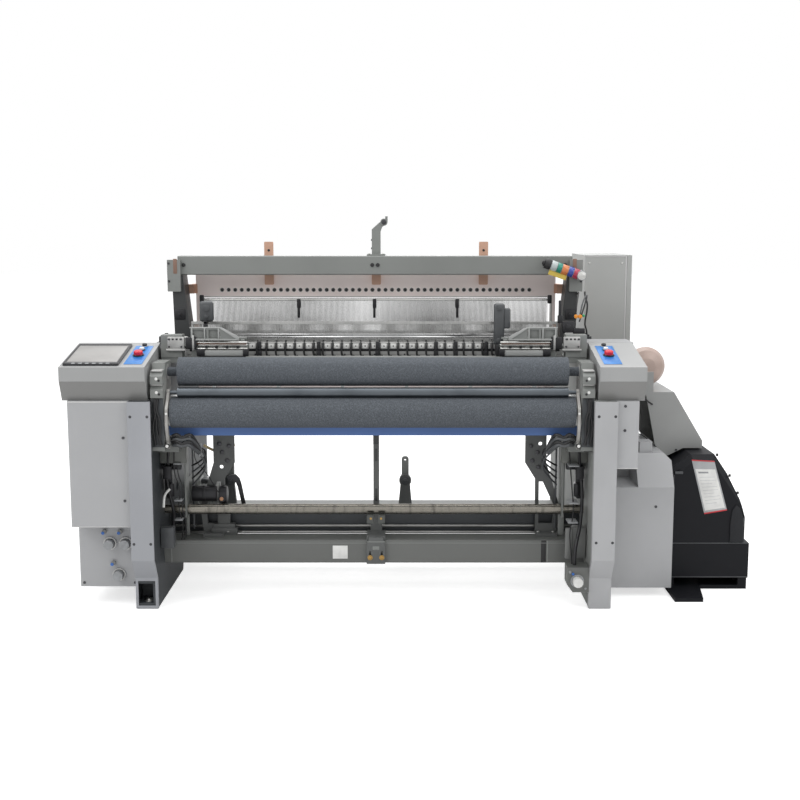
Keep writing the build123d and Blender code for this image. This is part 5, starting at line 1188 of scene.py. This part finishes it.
class LOOM_OT_fittings(bpy.types.Operator):
    """Models the air fittings, valves and hoses that the frame holds beside the rollers"""

    bl_idname = "loom.fittings"
    bl_label = "Fittings"

    def execute(self, context):
        valve = [
            slab((868, 378, 1216), (922, 402, 1270), 4), stud((895, 375, 1244), 13, 8, "Y", 24, 2),
            slab((850, 380, 1296), (862, 396, 1366), 3), slab((846, 380, 1262), (870, 396, 1298), 3)]
        dress(valve, "right_valve", "black_oxide")
        dress(slab((880, 376, 1208), (916, 402, 1218), 1), "right_valve_seat", "light_cast", slot="steel")
        for name, x, z, radius, finish_name in (
            ("orange", 931, 1292, 9.5, "fitting_orange"), ("amber", 950, 1292, 9.5, "fitting_orange"),
            ("green", 966, 1296, 6, "fitting_green"),
        ):
            dress(stud((x, 388, z), radius, 16, "Y", 20, 4), f"push_fitting_{name}", finish_name)
        base = slab((920, 376, 1208), (972, 400, 1238), 3)
        dress(base, "fitting_block", "black_oxide", slot="aluminium")
        tube([(931, 392, 1292), (930, 388, 1330), (944, 420, 1390), (962, 520, 1400), (960, 590, 1380)],
            3.5, "orange_line", "hose_black")
        tube([(950, 392, 1292), (956, 390, 1350), (990, 440, 1400), (1002, 560, 1350), (985, 640, 1250)],
            3.5, "green_line", "dark_shell")
        cage = []
        for side in (-1, 1):
            for x, y, z, w, h in (
                (947, 58, 742, 40, 46), (934, 176, 600, 36, 60), (944, 250, 540, 34, 80),
                (950, 300, 470, 26, 36)
            ):
                cage.append(
                    slab((side * x - w / 2, y, z - h / 2), (side * x + w / 2, y + 46, z + h / 2), 5))
            cage += [
                stud((side * 922, 262, 620), 19, 44, "X", 24, 3),
                stud((side * 930, 240, 508), 15, 60, "Z", 20, 3)]
        dress(cage, "inner_machinery", "black_oxide")
        grey = []
        for side in (-1, 1):
            grey += [
                slab((side * 929 - 42, 296, 590), (side * 929 + 38, 330, 676), 5),
                slab((side * 846 - 4, 340, 300), (side * 846 + 4, 362, 716), 2),
                stud((side * 905, 294, 640), 10, 8, "Y", 20, 2),
                stud((side * 950, 294, 608), 6, 8, "Y", 20, 2)]
        dress(grey, "inner_boxes", "dark_shell")
        seats = [slab((850, 196, 640), (968, 240, 722), 4), slab((846, 190, 712), (968, 240, 722), 2)]
        dress(mirrored(seats), "inner_seats", "seat_grey")
        sheets = [slab((858, 334, 270), (886, 338, 730), 1), slab((-880, 334, 270), (-866, 338, 723), 1)]
        dress(sheets, "inner_sheets", "casting_light")
        for side, name in ((-1, "left"), (1, "right")):
            for index, high in enumerate((786, 770, 756, 742)):
                route = [
                    (side * 886, 78 + 5 * index, high), (side * 866, 70, high + 14 - 7 * (index % 2)),
                    (side * 842, 72, high - 10 + 9 * (index % 2)), (side * 818, 76, high + 8),
                    (side * 796, 92, high - 4 * index), (side * 780, 150, 722 - 8 * index)]
                tube(route, 7.5, f"{name}_roller_hose_{index}", ("hose_black", "dark_shell")[index % 2])
        ends = [stud((side * 903, 45, 748), 11, 12, "Y", 24, 3) for side in (-1, 1)]
        dress(ends, "arm_ends", "hose_black", "press_levers")
        bright = [stud((side * 903, 37.5, 748), 7, 4, "Y", 20, 1.5) for side in (-1, 1)]
        dress(bright, "arm_end_caps", "white_screw", "press_levers")
        for side, name in ((-1, "left"), (1, "right")):
            for index, (y, spread) in enumerate(((236, 0), (228, 10), (248, -9), (220, 4))):
                x = side * (838 + spread)
                points = [
                    (side * 960, y, 742 - 6 * index), (x + side * 50, y - 14, 772 - 9 * index),
                    (x, y, 756 - 12 * index), (x - side * 40, y + 8, 706 - 8 * index),
                    (side * 772, y + 30, 690 - 16 * index), (side * 780, 300, 640 - 20 * index),
                    (side * 850, 346, 600 - 30 * index)]
                tube(points, 4.2, f"{name}_bundle_{index}", ("hose_black", "dark_shell")[index % 2])
        for index, (x, y) in enumerate(((-902, 190), (-890, 204))):
            tube([(x, y, 700), (x - 6, y - 8, 600), (x + 26, y + 12, 520), (x + 10, y, 440),
                  (x + 34, y + 30, 340), (x + 10, 262, 269)], 2.6, f"left_drop_{index}", "hose_black")
        tube([(884, 190, 700), (892, 160, 560), (906, 150, 420), (884, 140, 340),
              (890, 130, 260), (896, 122, 192)], 3.0, "right_drop", "hose_black")
        tube([(-801, 390, 690), (-746, 396, 652), (-700, 400, 668), (-655, 372, 694)],
            6.5, "yellow_line", "hose_yellow")
        ties = [
            slab((x - 3, 206, z - 34), (x + 3, 262, z + 20), 2)
            for x, z in ((-922, 742), (-840, 752), (-790, 704))]
        for z in (640, 470, 380):
            ties += [
                slab((-906, 182, z - 3), (-870, 226, z + 3), 2),
                slab((876, 128, z - 3), (922, 206, z + 3), 2)]
        dress(ties, "cable_ties", "grey_plastic", slot="grey_plastic")
        strap = [slab((870, 160, 206), (900, 178, 347), 3), slab((902, 176, 203), (966, 230, 347), 4)]
        dress(strap, "right_boxes", "grey_shell", slot="dark_grey_paint")
        dress(slab((-966, 150, 256), (-906, 196, 352), 4), "left_clip_box", "dark_shell")
        arch = [
            (-687, 546), (-668, 555), (-649, 557), (-631, 538), (-622, 508), (-605, 416), (-624, 416),
            (-642, 500), (-652, 523), (-668, 533), (-683, 529)]
        dress([
            stud((-793, 346, 468), 37, 116, "X", 40, 5), stud((-793, 346, 468), 39, 14, "X", 40, 2),
            stud((-706, 346, 462), 41, 36, "X", 40, 4), stud((-709, 308, 452), 17, 8, "Y", 32, 2),
            outline([arch], 8, 360, "Y", 2)], "let_off_gear", "black_oxide")
        dress([
            slab((-738, 356, 318), (-679, 386, 372), 4), slab((-769, 350, 268), (-646, 386, 300), 3),
            slab((-758, 353, 298), (-657, 386, 320), 2)], "let_off_foot", "bracket_grey")
        dress([
            stud((x, 365, z), 11, 8, "Y", 6, 1.5)
            for x, z in (
                (-680, 690), (-712, 660), (-688, 620), (-724, 700), (730, 690), (762, 660), (738, 620),
                (766, 590))], "plate_bolts", "dark_steel")
        # A dark plate behind the tie rods: painted shade between the tie beams
        dress(slab((-968, 402, 272), (968, 408, 362), 1), "tie_shade_plate", "casting_dark")
        dress(stud((-709, 302, 452), 9, 5, "Y", 24, 1.5), "let_off_hub", "copper_hub")
        lever = tube_mesh([(-917, 150, 532), (-936, 146, 516), (-945, 142, 490), (-946, 140, 450)], 5.5)
        dress(lever, "grip_lever", "white_screw")
        return {"FINISHED"}


class LOOM_OT_brackets(bpy.types.Operator):
    """Models the bolts and trims of the brackets, arms, tie beam and pedestals, with painted highlights on
    the tie beam's folds and painted shade plates on the brackets
    """

    bl_idname = "loom.brackets"
    bl_label = "Brackets"

    def execute(self, context):
        brass = [stud((x, 231, z), r, 8, "Y", 6, 1.2) for x, z, r in
                 ((-19, 190, 9), (35, 190, 9), (-15, 376, 6), (32, 376, 6))]
        brass += [stud((x, 234, z), r, 3, "Y", 24, 0.8) for x, z, r in ((-19, 190, 12), (35, 190, 12))]
        dress(brass, "brass_bolts", "brass_bolt")
        clamp = [slab((-33, 233.2, 262), (49, 240, 268), 1.5), slab((-8, 232.5, 226), (24, 236, 244), 3)]
        jaws = [slab((-34, 228, 352), (-2, 262, 388), 3), slab((18, 228, 352), (50, 262, 388), 3)]
        dress(jaws, "clamp_jaws", "charcoal_edge", slot="dark_grey_paint")
        dress(clamp, "clamp_ribs", "dark_grey_paint")
        strut = [slab((2.5, 352.5, z), (13.5, 354, z + 60), 1) for z in (430, 620)]
        strut.append(slab((-6, 350.5, 700), (22, 354, 862), 1))
        dress(strut, "strut_ribs", "charcoal_paint")
        dress(slab((-192, 249.4, 181), (-123, 250.2, 243), 0.4), "tie_label", "paper_white")
        # Lighter strips on the tie beam's folds: painted highlights
        fold = [slab((-962, 249.2, 253.5), (962, 250.4, 256.5), 0.6)]
        fold += [slab((x, 249.2, 162), (x + 5, 250.4, 267), 0.6) for x in (798, -940)]
        dress(fold, "tie_fold_highlights", "tie_light")
        gap = slab((771, 249.4, 162), (794, 250.3, 267), 0.4)
        dress(gap, "tie_joint", "hose_black", slot="dark_grey_paint")
        screws, holes, clips = [], [], []
        for side in (-1, 1):
            for z in (1046, 986, 930):
                screws.append(stud((side * 942, 36 if z > 950 else 52, z), 7, 5, "Y", 20, 1.2))
            clips.append(stud((side * 903, 36.5, 892), 5.5, 6, "Y", 20, 1.2))
            holes += [
                stud((side * 931, 35, 1038), 5.5, 5, "Y", 20, 0.5),
                stud((side * 931, 35, 978), 5.5, 5, "Y", 20, 0.5)]
        dress(screws, "arm_screws", "white_screw")
        dress(clips, "arm_clips", "white_screw", "press_levers")
        dress(holes, "lug_holes", "hose_black")
        caps = []
        for side in (-1, 1):
            caps += [
                slab((side * 942 - 25, 44, 1076), (side * 942 + 25, 110, 1083), 3),
                slab((side * 942 - 25, 44, 1015), (side * 942 + 25, 58, 1021), 2),
                stud((side * 918, 165, 1063), 34, 8, "X", 32, 2),
                stud((side * 918, 115, 887), 34, 8, "X", 32, 2)]
        dress(caps, "bearing_caps", "light_cast")
        # Thin dark plates on the brackets' fronts: painted shade
        shades = [slab((916, 45.5, 742), (967, 49.2, 957), 1)]
        dress(mirrored(shades), "bracket_shade_plates", "casting_dark", slot="casting_paint")
        for side, name in ((-1, "left"), (1, "right")):
            for index, (start, bulge, end) in enumerate(
                ((946, 928, 934), (938, 958, 952), (952, 944, 926))
            ):
                route = [
                    (side * start, 40, 955), (side * (start + 4), 36, 920), (side * bulge, 34, 860),
                    (side * (bulge + 4), 35, 810), (side * end, 40, 752)]
                tube(route, 4.4, f"{name}_bracket_hose_{index}", "hose_black")
        hubs = []
        for x in (-733, 145):
            hubs += [
                stud((x, 801, 447), 22, 2, "Y", 8, 0.8), stud((x, 728.5, 447), 24, 5, "Y", 8, 1.5),
                stud((x, 724, 447), 13, 6, "Y", 24, 1.5)]
        dress(hubs, "pedestal_hubs", "dark_shell")
        feet = [stud((x + a, 735 + b, 254), 8, 8, "Z", 6, 1) for x in (-733, 145) for a in (-46, 46)
                for b in (-48, 48)]
        feet += [
            stud((side * (754 if side > 0 else 704) + a, 352, 283.5), 7, 5, "Z", 6, 0.8)
            for side in (-1, 1)
            for a in (14, 84)]
        dress(feet, "pedestal_bolts", "zinc_screw")
        rods = [stud((0, 396, 301), 8, 1900, "X", 16, 0.5), stud((0, 392, 272), 6.5, 1896, "X", 16, 0.5)]
        dress(rods, "tie_rods", "rod_steel")
        return {"FINISHED"}


class LOOM_OT_covers(bpy.types.Operator):
    """Models the covers' screws, regulators, air box fittings and foot plates"""

    bl_idname = "loom.covers"
    bl_label = "Covers"

    def execute(self, context):
        r = sizes().cover_screw
        posts = [
            (x, z)
            for x in (-1053, -979)
            for z in (884, 316)] + [(x, z) for x in (983, 1055) for z in (885, 322)]
        for name, distance, places in (
            ("cover_screws", 20.6, ((-1090, 788), (-1091, 507))),
            ("side_panel_screws", 20.6, ((1100, 928), (1100, 821))),
            ("foot_screws", 65.4, ((-1060, 122), (-1060, 48))),
            ("lower_panel_screws", 120.4, ((-1310, 372), (-1310, 106), (-1080, 372), (-1080, 106))),
            ("lower_cover_screws", 250.4, ((1296, 427),)),
            ("upper_cover_screws", 500.4, ((1439, 645),)),
        ):
            heads = [(x, deep(distance), z, *FACING_FRONT) for x, z in places]
            dress(copies(socket_screw(r, 3), heads, name), name, "dark_steel")
        heads = [(-1331.6, deep(y), z, *FACING_LEFT) for y in (60, 450, 840) for z in (420, 920)]
        dress(copies(socket_screw(r, 3), heads, "left_side_screws"), "left_side_screws", "dark_steel")
        dress([stud((x, 0.7, z), r, 1.6, "Y", 20) for x, z in posts], "post_screws", "dark_steel")
        rings, collars, elbows = [], [], []
        for x, z in ((-1187, 290), (-1116, 290), (-1150, 146)):
            rings.append(outline([ring(x, z, 30, 32), ring(x, z, 24, 32)], 4, 111, "Y", 0.8))
            elbows += [
                stud((x - 22, 112, z + 56), 8, 12, "Y", 20, 1.5),
                stud((x - 22, 106, z + 56), 11, 8, "Y", 20, 2)]
            collars.append(stud((x - 28, 103, z + 50), 7.5, 6, "Y", 20, 1))
        dress(rings, "regulator_rings", "light_cast", slot="cover_paint")
        dress(elbows, "regulator_elbows", "grey_shell")
        dress(collars, "regulator_collars", "fitting_blue")
        air = [
            outline([ring(912, 132, 30, 32), ring(912, 132, 23.5, 32)], 3, 55.5, "Y", 0.8),
            stud((880, 60, 172), 6, 6, "Y", 20, 1), stud((950, 60, 96), 5, 4, "Y", 20, 1)]
        dress(air, "air_box_trim", "grey_plastic", slot="grey_plastic")
        dress([stud((893, 57, 164), 6, 8, "Y", 20, 1.5)], "air_box_fittings", "fitting_blue")
        # Lighter strips along the covers' folds and edges: painted highlights
        dress([
            slab((-1331, 18.6, 388), (-1067, 21, 391), 0.8),
            slab((-1331, 19.2, 944), (-1067, 21, 949), 0.8),
            slab((1067, 19.2, 651), (1161, 21, 654), 0.8),
            slab((1066.5, 18.8, 651), (1068.5, 21, 949), 0.6),
            slab((-1068.5, 18.8, 391), (-1066.5, 21, 949), 0.6)], "cover_fold_highlights", "cover_light")
        rim = outline([[(-1066, 3), (-966, 3), (-966, 146), (-1066, 146)],
                       [(-1054, 16), (-978, 16), (-978, 130), (-1054, 130)]], 3, 64, "Y", 1)
        dress(rim, "left_foot_rim", "post_paint")
        bolts = []
        for side in (-1, 1):
            bolts += [
                stud((side * 1016, 110, 32), 17, 12, "Z", 6, 2),
                stud((side * 1016, 1410, 32), 17, 12, "Z", 6, 2),
                stud((side * 1016, 110, 27.2), 22, 2.4, "Z", 24, 0.6),
                stud((side * 1016, 1410, 27.2), 22, 2.4, "Z", 24, 0.6)]
        dress(bolts, "anchor_nuts", "zinc_screw")
        return {"FINISHED"}


class LOOM_OT_drive(bpy.types.Operator):
    """Models the drive unit's pouch, painted highlights along its seams and bevels, bulge, vents and
    fixings
    """

    bl_idname = "loom.drive"
    bl_label = "Drive unit"

    def execute(self, context):
        corners = ((1478, 628), (1584, 622), (1652, 386), (1546, 368))

        def inside(u, v):
            top = [corners[0][i] + (corners[1][i] - corners[0][i]) * u for i in (0, 1)]
            low = [corners[3][i] + (corners[2][i] - corners[3][i]) * u for i in (0, 1)]
            return tuple(top[i] + (low[i] - top[i]) * v for i in (0, 1))

        def panel(u0, u1, v0, v1, thickness, front, name, finish_name):
            shape = [[inside(u0, v0), inside(u1, v0), inside(u1, v1), inside(u0, v1)]]
            thing = outline(shape, thickness, DRIVE_FRONT - front, "Y", 0.2)
            dress(thing, name, finish_name, slot="white_plastic")

        panel(0.0, 1.0, 0.0, 1.0, 0.8, 0.5, "pouch_back", "pouch_clear")
        panel(0.06, 0.94, 0.17, 0.94, 0.6, 1.3, "pouch_sheet", "paper_white")
        panel(0.0, 1.0, 0.0, 0.022, 1.0, 1.6, "pouch_top_bar", "pouch_red")
        panel(0.0, 1.0, 0.978, 1.0, 1.0, 1.6, "pouch_low_bar", "pouch_red")
        panel(0.16, 0.6, 0.22, 0.25, 0.3, 1.8, "pouch_header", "grey_plastic")
        for index in range(9):
            right, top, low = 0.84 - 0.2 * (index % 3 == 2), 0.32 + 0.062 * index, 0.327 + 0.062 * index
            panel(0.16, right, top, low, 0.24, 1.76, f"pouch_line_{index}", "pencil_grey")
        # Lighter lines along the shell's seams: real seams, drawn lighter as painted highlights on their
        # bevels
        dress([
            slab((1379, 348.6, 226), (1761, 351, 230), 1), slab((1730, 349, 230), (1737, 351, 352), 1),
            slab((1382, 349, 62), (1760, 351, 66), 1)], "drive_seam_highlights", "dark_shell", slot="black_paint")
        bulge = [
            (1668, 232), (1668, 330), (1676, 388), (1694, 412), (1712, 398), (1728, 352), (1735, 300),
            (1735, 232)]
        dress(outline([bulge], 10, 348, "Y", 4), "drive_bulge", "bulge_grey")
        handle = [
            slab((1402, 346, 560), (1440, 351, 572), 2), slab((1396, 349, 470), (1400, 352, 556), 1.5)]
        dress(handle, "drive_handles", "dark_shell", slot="black_paint")
        side = [slab((1730, 520, z - 40), (1739.5, 800, z - 32), 2) for z in (300, 330, 360)]
        for y in (390, 660, 930):
            side += [stud((1761, y, 90), 6, 2, "X", 16, 0.6), stud((1761, y, 210), 6, 2, "X", 16, 0.6)]
        dress(side, "drive_side_trim", "dark_shell", slot="black_paint")
        vents = [slab((1420 + 26 * i, 969, 300), (1434 + 26 * i, 970.8, 520), 2) for i in range(9)]
        dress(vents, "drive_back_vents", "hose_black", slot="black_paint")
        knobs = [
            stud((x + 4, y, z - 4), 7, 10, "X", 16, 2)
            for x, y, z in ((1600, 380, 649), (1660, 372, 552), (1700, 368, 470))]
        dress(knobs, "drive_knobs", "hose_black")
        return {"FINISHED"}


class LOOM_OT_cabinet(bpy.types.Operator):
    """Models the cabinet's handle, vents, seams drawn lighter as painted highlights, and hinge screws"""

    bl_idname = "loom.cabinet"
    bl_label = "Cabinet"

    def execute(self, context):
        door = 1301.0
        lock = [
            stud((door + 4, 1050, 860), 9, 8, "X", 24, 1.5),
            stud((door + 4, 1050, 820), 7, 8, "X", 24, 1.5)]
        dress(lock, "door_lock", "zinc_screw", "door")
        grip = [slab((door + 0.5, 1041, 790), (door + 5.8, 1059, 886), 2)]
        dress(grip, "door_grip", "black_oxide", "door")
        vent = slab((door - 0.6, 1140, 300), (door + 1.6, 1360, 305), 1)
        vents = row(vent, 10, 14, 2)
        upper = slab((door - 0.6, 1140, 1340), (door + 1.6, 1360, 1345), 1)
        dress([vents, row(upper, 10, 14, 2)], "door_vents", "dark_steel", "door", slot="cabinet_paint")
        # Lighter strips along the door's folds: painted highlights
        edge = [slab((door - 0.8, 1002, z), (door + 0.6, 1478, z + 3), 0.6) for z in (124, 1553)]
        dress(edge, "door_fold_highlights", "cabinet_light", "door")
        # Lighter strips along the cabinet's folds and edges: painted highlights
        dress([
            slab((1067, 998.6, 1552), (1273, 1001, 1557), 1),
            slab((1067, 998.6, 124), (1273, 1001, 128), 1),
            slab((1268, 998.4, 124), (1275, 1001, 1556), 1)], "cabinet_fold_highlights", "cabinet_light")
        dress([
            stud((x, 998.6, z), 4.5, 2.6, "Y", 16, 0.6)
            for x in (1084, 1250)
            for z in (160, 600, 1040, 1520)], "cabinet_screws", "zinc_screw")
        fan = [outline([ring(1170, 1360, 62, 40), ring(1170, 1360, 52, 40)], 2, 1480.4, "Y", 0.6)]
        fan += [
            outline([ring(1170, 1360, r, 32), ring(1170, 1360, r - 3, 32)], 1.6, 1480.4)
            for r in (42, 32, 22, 12)]
        fan += [
            slab((1106, 1479.8, 1358), (1234, 1481, 1362), 0.4),
            slab((1168, 1479.8, 1298), (1172, 1481, 1422), 0.4)]
        dress(fan, "cabinet_fan", "dark_steel")
        inlet = [stud((1110 + 40 * i, 1482, 200), 15, 8, "Y", 24, 2) for i in range(4)]
        dress(inlet, "cable_glands", "hose_black")
        return {"FINISHED"}


class LOOM_OT_back(bpy.types.Operator):
    """Models the fastenings of the castings, the stop motion, the back rest and the let-off"""

    bl_idname = "loom.back"
    bl_label = "Back and sides"

    def execute(self, context):
        drops = []
        for lane in range(6):
            y = deep(1130 + 65 + (lane - 2.5) * 20)
            drops.append(row(block((-930, y - 0.6, 1060), (-923, y + 0.6, 1128), 0.4), 154, 12))
        dress(drops, "drop_wires", "heald_steel", smooth=False)
        ends = []
        for side in (-1, 1):
            for y, z, r in ((1430, 1085, 40), (300, 405, 34), (430, 905, 34)):
                ends.append(stud((side * 989, y, z), r, 3, "X", 32, 1))
            for a in range(6):
                angle = math.tau * a / 6
                place = (side * 991, deep(1430) + 30 * math.cos(angle), 1085 + 30 * math.sin(angle))
                ends.append(disc(place, 4, 4, "X", 6, 0.5))
        dress(ends, "bearing_plates", "dark_shell", slot="casting_paint")
        dress([
            stud((side * 990.5, y, z), 9, 6, "X", 6, 1)
            for side in (-1, 1)
            for y, z in (
                (270, 185), (360, 185), (270, 245), (360, 245), (1150, 120), (1240, 120), (1150, 205),
                (1240, 205))], "tie_bolts", "zinc_screw")
        dress([
            stud((side * 954, y, z), 6, 5, "X", 6, 0.7)
            for side in (-1, 1)
            for y in (1145, 1245)
            for z in (990, 1140)], "stop_bolts", "dark_steel")
        fins = [
            outline([ring(deep(900), 348, r, 40) for r in (60.8, 57)], 3, -894 + 18 * i, "X", 0.6)
            for i in range(7)]
        fins.append(slab((-900, 872, 404), (-850, 928, 424), 4))
        dress(fins, "let_off_fins", "dark_shell")
        dress([
            stud((-757, 900, 348), 24, 3, "X", 32, 1), stud((-905.6, 840, 300), 10, 4, "X", 6, 1),
            stud((-905.6, 960, 300), 10, 4, "X", 6, 1)], "let_off_cap", "zinc_screw")
        return {"FINISHED"}


OPERATORS = [
    LOOM_OT_stage,
    LOOM_OT_finishes,
    LOOM_OT_reed,
    LOOM_OT_healds,
    LOOM_OT_nozzles,
    LOOM_OT_consoles,
    LOOM_OT_girder,
    LOOM_OT_lamp,
    LOOM_OT_temples,
    LOOM_OT_fittings,
    LOOM_OT_brackets,
    LOOM_OT_covers,
    LOOM_OT_drive,
    LOOM_OT_cabinet,
    LOOM_OT_back,
]


# Panel and run


class LOOM_PT_panel(bpy.types.Panel):
    """The loom's sizes, colours and steps"""

    bl_idname = "LOOM_PT_panel"
    bl_label = "Loom"
    bl_space_type = "VIEW_3D"
    bl_region_type = "UI"
    bl_category = "Loom"

    def draw(self, context):
        for group in (context.scene.loom_sizes, context.scene.loom_colours):
            for name in group.__annotations__:
                self.layout.prop(group, name)
        for operator in OPERATORS:
            self.layout.operator(operator.bl_idname)


CLASSES = [LoomSizes, LoomColours, *OPERATORS, LOOM_PT_panel]


def register():
    for made in CLASSES:
        bpy.utils.register_class(made)
    bpy.types.Scene.loom_sizes = PointerProperty(type=LoomSizes)
    bpy.types.Scene.loom_colours = PointerProperty(type=LoomColours)


def unregister():
    del bpy.types.Scene.loom_colours
    del bpy.types.Scene.loom_sizes
    for made in reversed(CLASSES):
        bpy.utils.unregister_class(made)


def main():
    register()
    random.seed(sizes().seed)
    for operator in OPERATORS:
        group, name = operator.bl_idname.split(".")
        getattr(getattr(bpy.ops, group), name)()
    bpy.context.view_layer.update()


if __name__ == "__main__":
    main()
